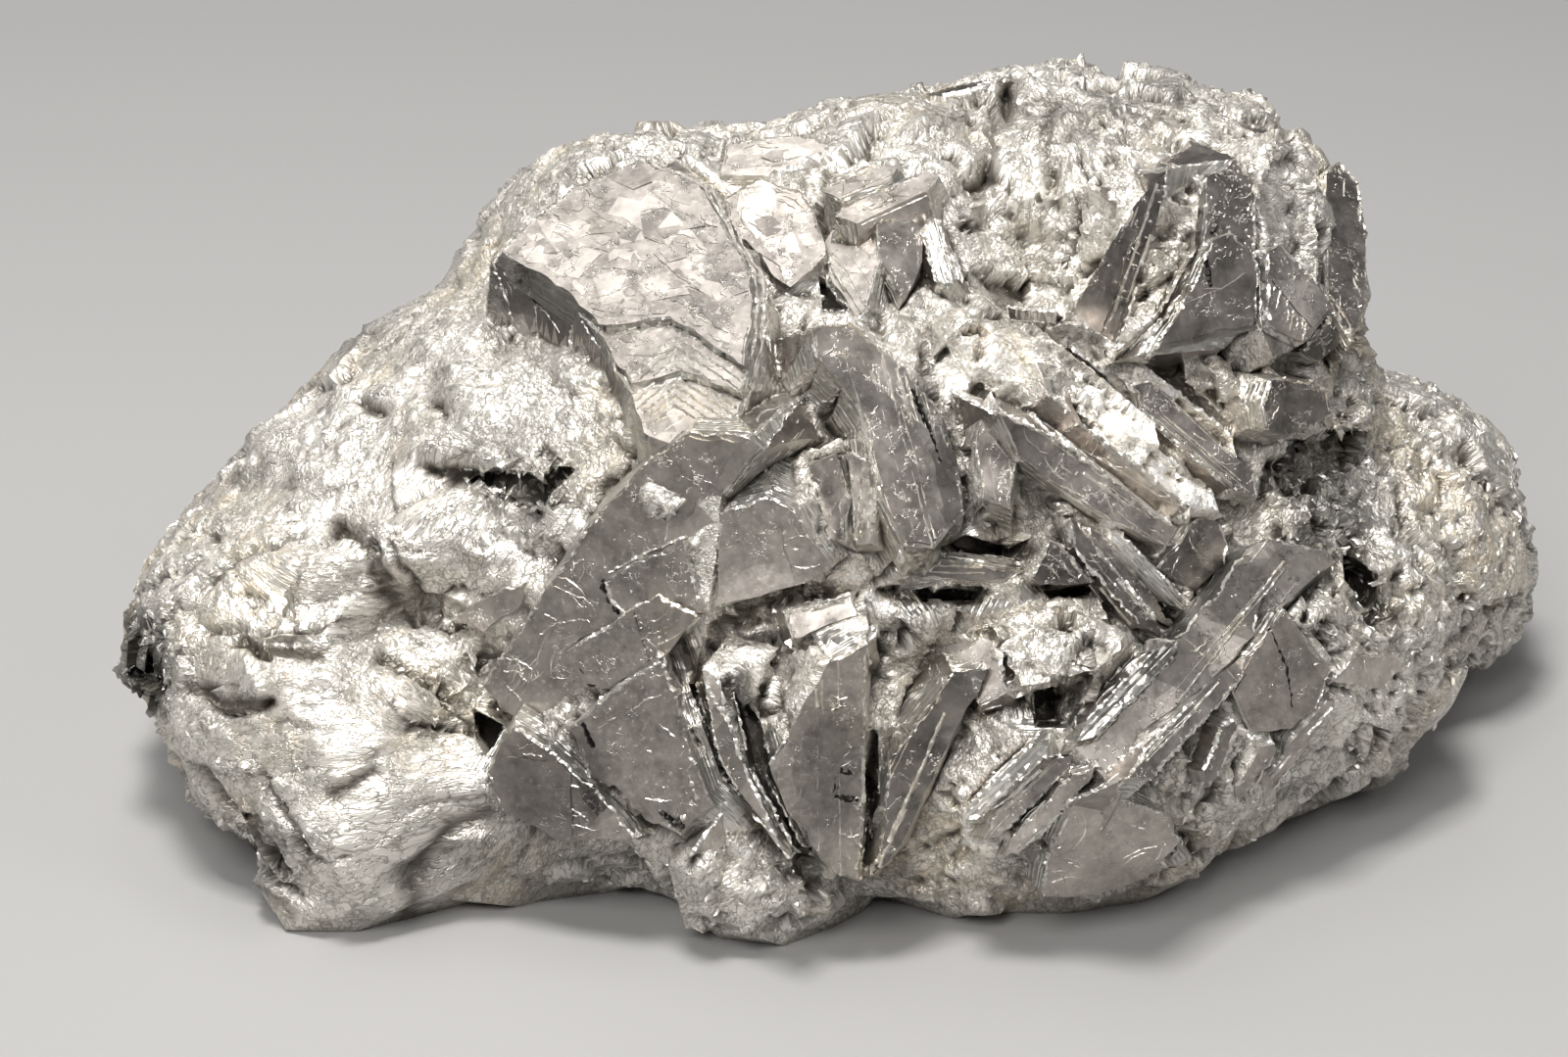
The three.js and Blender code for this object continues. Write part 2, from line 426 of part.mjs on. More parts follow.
// Clefts and pits cut into the specimen: outline and depth.
const CLEFTS = [
  { name: "nose recess", deep: 3.2, outline: [[1.8, 16.8], [2.3, 13.2], [4.8, 13.4], [2.6, 16.4]] },
  { name: "ridge crevice", deep: 4, outline: [[13.9, 30], [15, 29.4], [14.6, 24.8], [13.8, 24.4]] },
  { name: "overhang", deep: 3.6, narrow: 0.8,
    outline: [[-21, 3], [-19, 4.1], [-16.5, 3.7], [-15, 3.5], [-14.2, 4.9], [-12.7, 3.8], [-14.5, 2.3],
      [-15.3, 0.8], [-17.5, 1.9]] },
  { name: "lens hollow", deep: 2,
    outline: [[-35, -7], [-30, -6.6], [-28.3, -7.3], [-30, -8.6], [-33, -8.2]] },
  { name: "ledge hollow", deep: 1.8,
    outline: [[-38.7, -10.4], [-34, -10.6], [-32.3, -10.9], [-36.3, -11.8]] },
  { name: "left pit", deep: 2.6,
    outline: [[-42.4, -6], [-40, -6.2], [-39.7, -9.5], [-40, -11.3], [-42.4, -9.8]] },
  { name: "plate gap", deep: 4.5,
    outline: [[-20.2, -10.8], [-17.2, -12.4], [-18.9, -15.4], [-20, -13.6]] },
  { name: "fan gap, left", deep: 4,
    outline: [[-7.2, -7.7], [-6.4, -8], [-3.8, -15.8], [0.2, -21], [-3.9, -17]] },
  { name: "fan gap, middle", deep: 4,
    outline: [[-4.4, -8], [-2, -10.3], [-1, -13.5], [-1.4, -15.5], [1.5, -20.8], [3.4, -22.9], [0.8, -21],
      [-2.7, -15]] },
  { name: "fan slot", deep: 4,
    outline: [[5.1, -11], [6.2, -11.6], [6.3, -17.5], [5.6, -21.8], [5, -17]] },
  { name: "cavity, upper slot", deep: 5.5,
    outline: [[9.3, -1], [11, -0.1], [15, -1.4], [17.8, 0.1], [15.4, -2.4], [10.5, -1.7]] },
  { name: "cavity, lower slot", deep: 5,
    outline: [[7.4, -3.9], [9, -3.4], [13.9, -3.5], [13.2, -4.8], [10, -4.9], [8.3, -5]] },
  { name: "cavity, right slot", deep: 4.5,
    outline: [[15.8, -4], [20.1, -3.5], [20.3, -4.2], [16.6, -4.9]] },
  { name: "block cavity", deep: 4,
    outline: [[14.8, -10.2], [20, -8.8], [19.6, -11], [18.6, -13.4], [15.2, -13.4]] },
  { name: "pitted hollow", deep: 3.4, narrow: 0.75,
    outline: [[31.2, 5.8], [33.5, 6.2], [35.5, 7.2], [38.2, 6.6], [38.3, 3.4], [35, 2.4], [33.5, 2.2],
      [31.2, 3.8]] },
  { name: "side hole", deep: 4.5,
    outline: [[35, -0.5], [35.2, -3], [36.8, -4.6], [37.7, -6], [38.3, -5], [38.2, -2.8]] },
  { name: "foot hollow", deep: 2.6,
    outline: [[-12.8, -22], [-8, -20.8], [-3.6, -21], [-5.4, -24], [-7.2, -27], [-10.5, -25]] },
  { name: "layered strip", deep: 1.4,
    outline: [[-36, -16.6], [-34, -16.8], [-30.2, -23.2], [-31.2, -24], [-34.4, -20]] },
];

// A wide, shallow bowl scooped out left of the crown.
const BOWL = { at: [15.8, 19.5], above: 5.4, half: [6, 7.6, 7.4], roll: 10 };

function plates(forms) {
  const planes = {};
  return forms.map(({ name, on, proud, tilt, rise = 0, thick = 2.2, lean = [0, 0], outline }) => {
    planes[name] = on ? planes[on] : planeOver(outline, proud, tilt);
    return plate(outline, planes[name], thick, rise, lean);
  });
}

// Neighbours in a set lie a little higher and lower, and tip to either side.
function spray({ width, proud, tilt, ends }) {
  return ends.map(([from, to], i) => {
    const outline = blade(from, to, width);
    const turn = i % 2 ? -1 : 1;
    const plane = planeOver(outline, proud + 0.3 * turn, [tilt[0] + 0.12 * turn, tilt[1]]);
    return plate(outline, plane, BLADE_DEPTH, 0, [0, 0]);
  });
}

// ---------------------------------------------------------------- the back
// Broad crystals set nearly flush in the granular back: which lump they grow on, the direction from
// its middle as [across, up, out], and their length.
const BACK_CRYSTALS = [
  { lump: "back", toward: [-0.7, 0.35, -0.62], size: 13 },
  { lump: "back", toward: [-0.35, 0.62, -0.7], size: 11 },
  { lump: "back", toward: [0.05, 0.4, -0.9], size: 15 },
  { lump: "back", toward: [0.4, 0.6, -0.68], size: 12 },
  { lump: "back", toward: [-0.3, 0, -0.95], size: 14 },
  { lump: "back", toward: [0.35, 0.1, -0.93], size: 11 },
  { lump: "back", toward: [-0.75, -0.1, -0.65], size: 10 },
  { lump: "back knob", toward: [0.2, 0.6, -0.77], size: 9 },
  { lump: "back knob", toward: [0.1, 0, -1], size: 10 },
  { lump: "crown", toward: [0.1, 0.7, -0.7], size: 11 },
  { lump: "shoulder", toward: [-0.2, 0.6, -0.77], size: 11 },
];
const BACK_PROUD = 0.9; // how far their faces stand out of the lump
const BACK_DEPTH = 6; // how far they go into it
const BACK_TIP = 0.22; // how far they tip away from lying flat

// A lozenge with its corners cut, tipped and turned by its place in the list.
function backCrystal({ lump: name, toward, size }, i) {
  const { at, half, roll } = LUMPS.find((one) => one.name === name);
  const [x, y] = turned(toward[0] * half[0], toward[1] * half[1], roll);
  const middle = seen(...at);
  const place = seen(at[0] + x, at[1] + y, at[2] + toward[2] * half[2]);
  const tip = new THREE.Vector3(Math.sin(2.4 * i), 0, Math.cos(1.7 * i)).multiplyScalar(BACK_TIP);
  const facing = place.clone().sub(middle).normalize().add(tip).normalize();
  const flat = new THREE.Vector3(0, 0, 1);
  const pose = new THREE.Quaternion()
    .setFromUnitVectors(flat, facing)
    .multiply(new THREE.Quaternion().setFromAxisAngle(flat, 1.3 * i));
  const corners = [[1, 0.35], [0.55, 0.7], [-0.6, 0.7], [-1, 0.2], [-0.9, -0.4], [-0.3, -0.7],
      [0.8, -0.5]];
  const outline = corners.map(([a, b]) => [(a * size) / 2, (b * size) / 2]);
  return solidOf(
    remap(prism(outline), (p) => {
      const flare = p.z > 0.5 ? 1 : 1.25;
      const height = p.z > 0.5 ? BACK_PROUD : -BACK_DEPTH;
      return new THREE.Vector3(p.x * flare, p.y * flare, height).applyQuaternion(pose).add(place);
    }),
  );
}

// ---------------------------------------------------------------- assembly
function join(solids) {
  return solids.reduce((whole, solid) => whole.add(solid));
}

const grown = join([
  solidOf(matrix()).subtract(solidOf(scoop(BOWL))),
  ...plates(PLATES),
  ...SPRAYS.flatMap(spray),
  ...BACK_CRYSTALS.map(backCrystal),
]);
const opened = grown.subtract(join(CLEFTS.map(cleft)));
const filled = join([opened, ...plates(INNER_PLATES)]);

// The underside is cut level where the specimen rests.
const below = new THREE.BoxGeometry(200, 200, 60).translate(0, 0, -30);
const body = filled.subtract(solidOf(below));

// Slivers and sealed pockets that the cuts leave are dropped: the specimen is the largest body.
const [whole] = body.decompose().sort((one, other) => other.volume() - one.volume());

const mesh = whole.getMesh();
const geometry = new THREE.BufferGeometry();
geometry.setAttribute("position", new THREE.BufferAttribute(new Float32Array(mesh.vertProperties), 3));
geometry.setIndex(new THREE.BufferAttribute(new Uint32Array(mesh.triVerts), 1));

const pyrite = new THREE.MeshStandardMaterial({ color: 0xa39d90, roughness: 0.45, metalness: 0.85 });
const cluster = new THREE.Mesh(geometry, pyrite);
cluster.name = "pyrite_cluster";

const specimen = new THREE.Group();
specimen.add(cluster);

export default specimen;
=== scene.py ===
import math
from itertools import product

import bmesh
import bpy
import numpy as np
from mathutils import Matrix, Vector


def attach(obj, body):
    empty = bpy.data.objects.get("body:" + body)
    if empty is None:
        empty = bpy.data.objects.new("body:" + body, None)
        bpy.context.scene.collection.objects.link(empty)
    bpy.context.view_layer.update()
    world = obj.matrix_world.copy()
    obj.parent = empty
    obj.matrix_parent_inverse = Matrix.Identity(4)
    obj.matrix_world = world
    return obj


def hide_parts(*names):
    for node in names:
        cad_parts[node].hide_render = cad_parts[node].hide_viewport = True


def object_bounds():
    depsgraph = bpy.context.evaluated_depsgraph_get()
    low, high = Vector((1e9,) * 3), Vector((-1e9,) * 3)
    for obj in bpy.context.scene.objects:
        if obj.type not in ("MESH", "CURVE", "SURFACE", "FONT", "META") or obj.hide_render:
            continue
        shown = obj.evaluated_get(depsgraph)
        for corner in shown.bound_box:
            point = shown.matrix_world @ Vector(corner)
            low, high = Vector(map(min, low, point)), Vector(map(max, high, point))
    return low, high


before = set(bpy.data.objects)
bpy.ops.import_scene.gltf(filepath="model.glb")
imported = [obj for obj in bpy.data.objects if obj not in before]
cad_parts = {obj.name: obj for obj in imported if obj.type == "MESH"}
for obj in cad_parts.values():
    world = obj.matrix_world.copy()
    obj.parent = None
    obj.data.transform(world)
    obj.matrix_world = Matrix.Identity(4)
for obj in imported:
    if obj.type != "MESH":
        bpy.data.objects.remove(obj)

cad_low, cad_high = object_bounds()

# ---------------------------------------------------------------- sizes and places, in metres
MM = 0.001
LEAN_BACK = math.radians(24)  # how far the show side leans back
VIEW_DISTANCE = 230 * MM
PLANE_ORIGIN = np.array([-4.3, -2.4, 17.0])  # middle of the show side's layout plane, in mm
ACROSS = np.array([1.0, 0, 0])
UP = np.array([0.0, math.sin(LEAN_BACK), math.cos(LEAN_BACK)])
OUT = np.array([0.0, -math.cos(LEAN_BACK), math.sin(LEAN_BACK)])
SEED = 5  # which crystals are lighter and which darker
BOX_LOW, BOX_HIGH = np.array(cad_low) / MM, np.array(cad_high) / MM  # the solid's box, in mm

# longest edges of the fine skin, in mm
EDGE_FRONT, EDGE_KEPT, EDGE_CRYSTAL, EDGE_BACK, EDGE_UNDER = 0.5, 0.8, 1.6, 1.3, 4.0
ONE_POINT = 0.002  # points of the solid closer than this, in mm, are one
ONE_FACE = math.radians(0.7)  # faces that bend less than this are one
SLIVER = 0.004  # edges shorter than this, in mm, are closed up
CRYSTAL_AREA = 5.5  # a flat many-sided face larger than this, in square mm, is a crystal's
SHARP = math.radians(47)  # bends sharper than this keep their edge
HARD = math.radians(33)  # bends sharper than this border a crystal's face
SMOOTH = math.radians(26)  # bends softer than this are shaded smooth
MARKED = -0.7  # crystals whose normals point further down than this carry no marks
INSIDE = 0.4  # how strongly a face has to lie in a zone to count as part of it
DEEPEST, HIGHEST = -2.2, 0.5  # how far the granular mass moves in and out, in mm
SHEET_EDGE = 1.4  # longest edge of a growth sheet, in mm
# how dark the seams are painted: painted shadow at the plates' steps
SEAM_PAINTED_SHADOW = 0.08
ROUNDS = 7  # waves laid over one another in the soft noise
BRIGHTEST = (1.0, 0.98, 0.94)  # no painted light makes the metal paler than this
LIT_PLACE = (0, 0, 0.02)  # what every light looks at

CAMERA_LENS, SENSOR = 82.8, 36.0
FLOOR_SIZE = 3.0

# Creases of the show side: depth, half width, and the path across and up, all in mm.
CREASES = [
    (1.0, 0.3, [[-28.9, 0.4], [-27.4, -0.6], [-26.4, -1.8], [-25.2, -4.2], [-23.6, -5.9]]),
    (0.7, 0.25, [[-27.6, 0.2], [-26.4, -0.8], [-25.4, -2.4], [-24.6, -4.4]]),
    (0.6, 0.3, [[-25.0, -0.8], [-23.6, -3.2], [-22.8, -5.4]]),
    (0.5, 0.3, [[-29.0, -7.2], [-27.0, -6.6], [-25.2, -5.9]]),
    (0.6, 0.28, [[-37.4, -6.1], [-34.2, -6.3], [-30.2, -6.2], [-26.2, -5.8], [-24.0, -4.9], [-20.8, -3.8]]),
    (1.1, 0.45, [[-34.9, -6.9], [-33.4, -7.4], [-31.4, -7.9], [-29.4, -7.7]]),
    (1.1, 0.45, [[-37.9, -10.3], [-36.6, -10.8], [-34.8, -11.3], [-32.8, -11.2]]),
    (1.2, 0.8, [[-41.0, -6.4], [-41.2, -8.6], [-40.6, -11.0]]),
    (0.8, 0.45, [[-25.4, -8.0], [-23.6, -8.9], [-22.4, -9.9], [-20.6, -11.3], [-19.6, -12.6]]),
    (0.8, 0.4, [[-27.3, 8.3], [-26.4, 7.6], [-25.8, 7.3]]),
    (0.6, 0.4, [[-22.6, 7.7], [-21.8, 7.2]]),
    (0.6, 0.5, [[-29.4, -17.4], [-27.6, -16.4], [-26.4, -15.6]]),
    (0.6, 0.8, [[-24.2, -25.6], [-23.4, -22.6], [-21.6, -19.8], [-19.0, -18.2]]),
    (0.5, 0.5, [[-40.0, -13.6], [-37.8, -17.4], [-35.2, -21.2], [-31.6, -24.6]]),
    (0.5, 0.35, [[-33.4, -15.2], [-32.0, -18.0], [-30.6, -21.4]]),
    (0.6, 0.4, [[-37.4, -15.0], [-35.6, -17.8], [-33.2, -21.0]]),
    (0.4, 0.4, [[-24.8, -12.6], [-22.6, -12.9], [-20.8, -12.2]]),
    (0.5, 0.4, [[-30.9, -0.2], [-32.9, -0.6], [-35.2, -1.6], [-37.2, -3.4]]),
    (0.5, 0.5, [[13.8, 27.6], [13.2, 24.6], [12.4, 21.8]]),
    (0.5, 0.5, [[17.2, 27.0], [16.6, 24.0], [17.0, 20.6]]),
    (1.0, 0.45, [[-22.8, 3.9], [-20.8, 3.5], [-18.8, 3.0]]),
    (0.9, 0.4, [[-18.6, 2.4], [-16.9, 1.5], [-15.9, 0.8]]),
    (0.9, 0.75, [[-6.4, -7.4], [-4.9, -11.6], [-3.4, -15.6], [-0.4, -20.4]]),
    (0.9, 0.75, [[-3.4, -10.0], [-1.9, -13.8], [-0.2, -17.8], [1.4, -21.4]]),
    (1.3, 0.7, [[36.3, -0.6], [37.1, -3.2], [38.2, -5.6]]),
    (0.8, 0.4, [[12.2, -10.2], [14.4, -11.4], [17.6, -10.6]]),
    (0.8, 0.5, [[31.6, 3.8], [33.8, 1.8], [34.4, -0.4]]),
    (0.9, 0.4, [[-3.2, 19.5], [-1.9, 17.4], [0.2, 15.4]]),
    (1.0, 0.5, [[9.0, -0.9], [12.5, -1.2], [15.6, -1.3]]),
    (1.0, 0.45, [[6.6, -4.2], [9.5, -4.4], [12.6, -4.3]]),
    (1.0, 0.45, [[16.2, -4.1], [19.8, -4.0]]),
]

# Hollows in the granular mass: middle across and up, half width and half height, all in mm.
ROUGH_HOLLOWS = [
    (-17.0, 2.8, 5.0, 3.0), (-41.0, -8.5, 2.2, 3.6), (35.0, 4.6, 4.4, 3.2), (36.6, -3.0, 2.2, 3.4),
    (-8.0, -23.5, 5.2, 3.8), (-33.2, -20.2, 3.6, 4.8),
]

# Zones of the show side, each as middle across and up, half width and half height, in mm.
# Flat faces that are granular all the same.
GRANULAR_FACES = [
    (16.9, -7.4, 4.4, 3.4), (-6.0, -24.2, 3.0, 4.0), (33.0, 3.0, 3.4, 2.4), (23.4, 15.6, 1.8, 3.0),
    (20.4, 8.6, 1.6, 1.6), (25.4, 3.4, 1.8, 1.4), (-8.0, 2.2, 1.4, 1.2), (13.5, 11.2, 0.9, 0.9),
    (11.9, 9.8, 0.9, 0.9), (22.6, 9.7, 0.9, 0.9), (18.1, 8.9, 0.9, 0.9), (19.8, 11.6, 0.9, 0.9),
    (17.3, -11.1, 0.9, 0.9), (-20.9, -12.9, 1.2, 1.2), (27.6, 9.8, 1.2, 1.4), (32.0, 19.6, 0.9, 0.9),
    (24.7, 18.2, 0.9, 0.9), (22.7, 5.3, 0.9, 0.9), (-4.0, -6.3, 0.9, 0.9), (0.9, -7.9, 0.9, 0.9),
    (-1.2, -10.4, 2.6, 2.4),
]
# Where the granular mass just breaks through a crystal and is pressed back into its face.
PRESSED = [(-8.6, -15.6, 4.2, 2.8)]
# Where the grain is long and silky.
SILKY = [(-28, -17, 15, 9), (-31.5, -4.5, 7, 4.5), (-22.5, 2.0, 5, 4), (-3, 22, 4, 3), (14, 24, 5, 6)]
# Where crumbs lie thickest.
CRUMBLY = ROUGH_HOLLOWS + [
    (41.0, 0.0, 7.0, 14.0), (-6.0, -24.0, 6.0, 4.0), (17.0, -7.4, 4.4, 3.4), (-39.0, -3.0, 4.0, 8.0),
    (24.0, -17.0, 10.0, 6.0), (-20.0, -9.0, 5.0, 4.0),
]
# Where specks lie on the crystals.
SPECKLED = [(10.4, 4.6, 1.3, 5.4), (34.0, 18.0, 3.0, 6.5), (29.0, 21.0, 2.4, 4.0), (-9.0, -8.0, 3.0, 2.0)]
# Where coarse chunks fill the hollows.
CHUNKY = [(35.0, 3.6, 3.6, 4.6), (-16.0, 2.8, 4.0, 2.2), (-41.0, -8.5, 2.0, 3.4), (-21.0, -9.5, 2.6, 2.4)]
# Hollows whose sides are worn smooth.
SOFT_HOLLOWS = [(-31.6, -7.6, 4.4, 1.9), (-35.6, -11.0, 4.2, 1.7), (14.4, 27.2, 1.8, 3.6)]

# Where the grain runs one way: middle across and up, half width, half height, and its angle.
FLOWS = [
    (-28, -17, 14, 10, 0.12), (-27, 7, 15, 11, 0.9), (20, 7, 13, 9, -0.65), (27, -13, 13, 10, 0.83),
    (-6, -14, 6, 9, -1.05), (8, -15, 5, 8, 1.2), (-8, 16, 11, 9, -0.55), (16, 20, 7, 8, 1.3),
    (40, 2, 6, 14, 1.4), (-22, -9, 6, 4, -0.6),
]

# Hairlines on the crystals, read off two enlarged patches of the layout. A reading is counted
# in enlarged dots, across and down from its patch's upper left corner.
DOTS = 16  # dots of the layout to a mm
MIDDLE_DOT = (800, 539.5)  # the dot at the layout's middle
ENLARGED = 3
LOWER_PATCH, UPPER_PATCH = (480, 540), (480, 150)  # the dots at the patches' corners
LOWER_READINGS = [
    [(205, 330), (260, 290), (320, 275), (365, 280)], [(95, 395), (150, 400), (190, 430), (200, 455)],
    [(100, 440), (140, 430), (175, 470)], [(110, 480), (150, 510), (165, 540)], [(230, 260), (265, 280)],
    [(300, 195), (350, 215), (380, 240), (385, 265)], [(245, 455), (290, 460)],
    [(430, 380), (470, 390), (500, 415)], [(500, 240), (545, 215), (590, 185)],
    [(395, 610), (425, 590), (450, 575)], [(500, 550), (540, 520), (580, 510)],
    [(525, 630), (540, 600), (550, 575)], [(575, 600), (610, 620), (630, 640)],
    [(660, 750), (670, 725), (710, 712)], [(645, 700), (655, 680)], [(560, 455), (620, 440)],
    [(1105, 505), (1130, 520), (1150, 515)], [(1080, 590), (1110, 550), (1140, 540)],
    [(990, 755), (1020, 740)], [(1110, 820), (1130, 740), (1170, 745)], [(1112, 826), (1190, 824)],
    [(1000, 790), (1030, 800), (1025, 830)], [(1130, 930), (1170, 945), (1195, 930)],
    [(150, 670), (190, 655), (215, 650)], [(160, 690), (215, 695)], [(230, 860), (290, 850), (350, 880)],
    [(280, 780), (330, 790)],
]
UPPER_READINGS = [
    [(1115, 640), (1150, 630), (1200, 650), (1210, 680)], [(1060, 580), (1060, 640), (1090, 690)],
    [(1160, 640), (1120, 660), (1130, 690)], [(1290, 840), (1320, 830)],
    [(1400, 700), (1380, 760), (1400, 830), (1440, 860), (1460, 920)],
    [(260, 325), (350, 310), (420, 320)], [(390, 215), (470, 240), (500, 290)],
    [(370, 470), (440, 450), (500, 420)], [(480, 230), (540, 270), (600, 300)],
    [(330, 400), (420, 370), (500, 380)], [(520, 200), (590, 190), (650, 215)],
    [(560, 330), (640, 400), (690, 430)], [(600, 440), (680, 430), (740, 470)],
]


def read_off(readings, corner):
    """Paths across and up in mm, to the tenth that a reading is good for."""
    paths = []
    for reading in readings:
        across = [(corner[0] + x / ENLARGED - MIDDLE_DOT[0]) / DOTS for x, _ in reading]
        up = [(MIDDLE_DOT[1] - (corner[1] + y / ENLARGED)) / DOTS for _, y in reading]
        paths.append([[round(a, 1), round(b, 1)] for a, b in zip(across, up)])
    return paths


HAIRLINES = read_off(LOWER_READINGS, LOWER_PATCH) + read_off(UPPER_READINGS, UPPER_PATCH)
# Chipped bright edges of the steps on the great plates.
CHIPPED = [
    [[-13.9, -8.2], [-12.4, -7.0], [-9.4, -5.6]], [[-11.6, -3.1], [-9.0, -1.7], [-6.2, -0.5]],
    [[-12.7, -12.0], [-10.4, -10.0], [-7.4, -8.2]], [[-5.4, -8.8], [-4.4, -11.0], [-2.4, -14.4]],
    [[-11.4, -3.4], [-11.0, -4.6], [-10.2, -5.4]],
]
# Painted shadow: dark lines where one plate ends on another, standing for the shade at each step.
SHADOW_SEAMS = [
    [[-11.6, -3.3], [-11.3, -4.3], [-10.5, -5.5]],
    [[-13.8, -7.9], [-13.0, -8.8], [-12.4, -9.8], [-11.5, -10.7]],
    [[-12.8, -12.5], [-12.0, -14.3], [-10.3, -15.5], [-8.7, -17.4], [-7.3, -18.5], [-5.8, -19.4]],
    [[-6.0, -1.5], [-5.4, -2.7], [-4.7, -5.3], [-4.6, -6.0]], [[-5.7, -2.0], [-4.7, -2.7], [-4.0, -3.4]],
    [[3.4, -15.4], [4.4, -15.6]], [[3.1, -17.1], [4.7, -17.3]], [[3.3, -15.6], [3.1, -16.9]],
    [[29.9, 13.6], [30.2, 12.7], [30.7, 11.9]], [[32.7, 11.3], [34.0, 12.8], [35.0, 13.9]],
    [[27.2, 15.4], [26.9, 17.6], [27.5, 19.4]], [[22.8, -3.2], [24.6, -5.6], [25.8, -6.6]],
    [[8.2, 8.8], [9.3, 6.2], [10.3, 3.4]], [[31.0, -6.4], [32.0, -8.8], [32.4, -11.4]],
]
# Nested bends of the growth steps on the great slab.
BENDS = [
    [[-9.9 + 0.1 * k, 9.5 - 0.5 * k], [-6.9, 12.2 - 0.62 * k], [-2.4 - 0.2 * k, 9.2 - 0.5 * k]]
    for k in range(8)
]

# Painted light and shade, in places also the rock's own darker or lighter tone: where the surface is
# painted darker or brighter, as middle, half sizes, the highest upward part of a normal that still counts,
# and the factor. Later ones go over earlier ones.
PAINTED_LIGHT_AND_SHADE = [
    (-17.2, 15.8, 3.2, 2.6, 0.3, 0.35), (-14.0, 13.0, 2.8, 2.8, 0.3, 0.35),
    (-11.6, 9.8, 2.2, 2.8, 0.3, 0.5), (-0.2, 23.2, 4.0, 1.6, 1.1, 1.6), (31.0, 16.0, 5.0, 9.0, 0.7, 0.82),
    (19.6, 16.5, 2.0, 5.0, 1.1, 0.8), (23.0, 4.0, 6.5, 6.0, 1.1, 2.0), (13.0, 10.6, 3.6, 2.6, 1.1, 1.5),
    (-1.0, -4.8, 4.6, 2.4, 1.1, 1.7), (-3.4, -8.6, 2.8, 2.6, 1.1, 1.5),
    (-0.9, -21.9, 4.2, 2.8, 1.1, 1.15), (7.0, 8.0, 3.0, 5.0, 1.1, 1.12), (9.0, 8.6, 0.9, 2.4, 1.1, 0.5),
    (10.2, 5.2, 0.9, 2.6, 1.1, 0.5), (10.9, 1.6, 0.9, 2.2, 1.1, 0.55), (17.2, 18.7, 4.5, 5.0, 1.1, 1.2),
    (18.0, 26.0, 6.0, 2.0, 1.1, 0.74), (-17.0, -21.6, 6.0, 2.6, 1.1, 0.7),
    (2.8, -15.6, 2.4, 5.0, 1.1, 0.6), (8.0, -13.0, 2.2, 3.4, 1.1, 0.8), (12.6, -8.2, 4.6, 2.4, 1.1, 1.15),
    (-3.0, -12.0, 1.4, 5.0, 0.7, 0.5), (32.5, -9.7, 2.4, 3.4, 1.1, 0.85),
    (-29.0, -12.5, 7.0, 1.8, 1.1, 1.1), (35.0, 1.6, 3.4, 5.0, 1.1, 0.5), (-16.5, 2.8, 4.4, 2.4, 1.1, 0.8),
    (-41.0, -8.5, 2.4, 4.0, 1.1, 0.45), (23.9, 15.4, 1.8, 4.0, 1.1, 0.7),
    (-14.9, -16.2, 4.4, 4.4, 1.1, 0.5), (21.5, -11.5, 2.4, 2.6, 1.1, 0.66),
    (25.2, -8.2, 2.8, 2.8, 1.1, 0.34), (29.2, -4.2, 3.2, 3.0, 1.1, 0.3),
    (32.8, -2.4, 2.8, 2.6, 1.1, 0.36), (-19.7, 0.0, 3.8, 2.8, 1.1, 0.85),
    (-27.0, 12.2, 2.8, 1.9, 1.1, 0.68), (-34.2, 3.1, 1.2, 1.0, 1.1, 0.6),
    (23.9, 27.3, 2.6, 1.8, 1.1, 0.66), (11.2, 26.5, 2.4, 2.0, 1.1, 0.84),
    (-22.2, -6.6, 3.6, 3.0, 1.1, 1.3), (7.2, 18.1, 3.2, 3.0, 1.1, 1.3), (4.9, -4.4, 2.2, 2.3, 1.1, 1.9),
    (13.1, -18.2, 3.6, 2.8, 1.1, 1.5), (37.2, -10.7, 3.2, 3.2, 1.1, 1.25),
    (-34.4, -20.4, 3.4, 4.4, 1.1, 0.8), (-9.0, 3.0, 5.0, 3.0, 1.1, 1.1),
    (-3.2, -20.6, 2.6, 2.6, 1.1, 1.35),
]


# ---------------------------------------------------------------- layout of the show side
def layout_of(points):
    """Across, up and out of each point in mm, as the show side is laid out."""
    rel = points - PLANE_ORIGIN
    out = rel @ OUT
    shrink = 1 - out / (VIEW_DISTANCE / MM)
    return np.stack([rel[:, 0] / shrink, (rel @ UP) / shrink, out], axis=1)


def ramp(values, start, end):
    """0 before start, 1 after end, and a soft rise between."""
    t = np.clip((values - start) / (end - start), 0, 1)
    return t * t * (3 - 2 * t)


def near(layout, across, up, wide, tall):
    """1 at a place of the show side, falling softly to 0 at an oval around it."""
    gone = ((layout[:, 0] - across) / wide) ** 2 + ((layout[:, 1] - up) / tall) ** 2
    return 1 - ramp(np.sqrt(gone), 0.6, 1.15)


def within(layout, ovals):
    """1 inside any of the ovals, falling softly to 0 around them."""
    return np.max([near(layout, *oval) for oval in ovals], axis=0)


def crystalline(points, normals):
    """How coarsely broken the grain is: 0 on the silky left slopes, 1 among the crystals and behind."""
    layout = layout_of(points)
    coarse = ramp(layout[:, 0], -16, -9)
    coarse = np.maximum(coarse, near(layout, -21, -10.5, 4.5, 3.5) * 0.9)
    coarse = np.maximum(coarse, near(layout, -40, -6, 3, 9) * 0.8)
    coarse = np.maximum(coarse, near(layout, -33, -20, 3.2, 6) * 0.8)
    behind = 1 - ramp(normals @ OUT, -0.5, 0.1)
    return np.maximum(coarse, behind * 0.8)


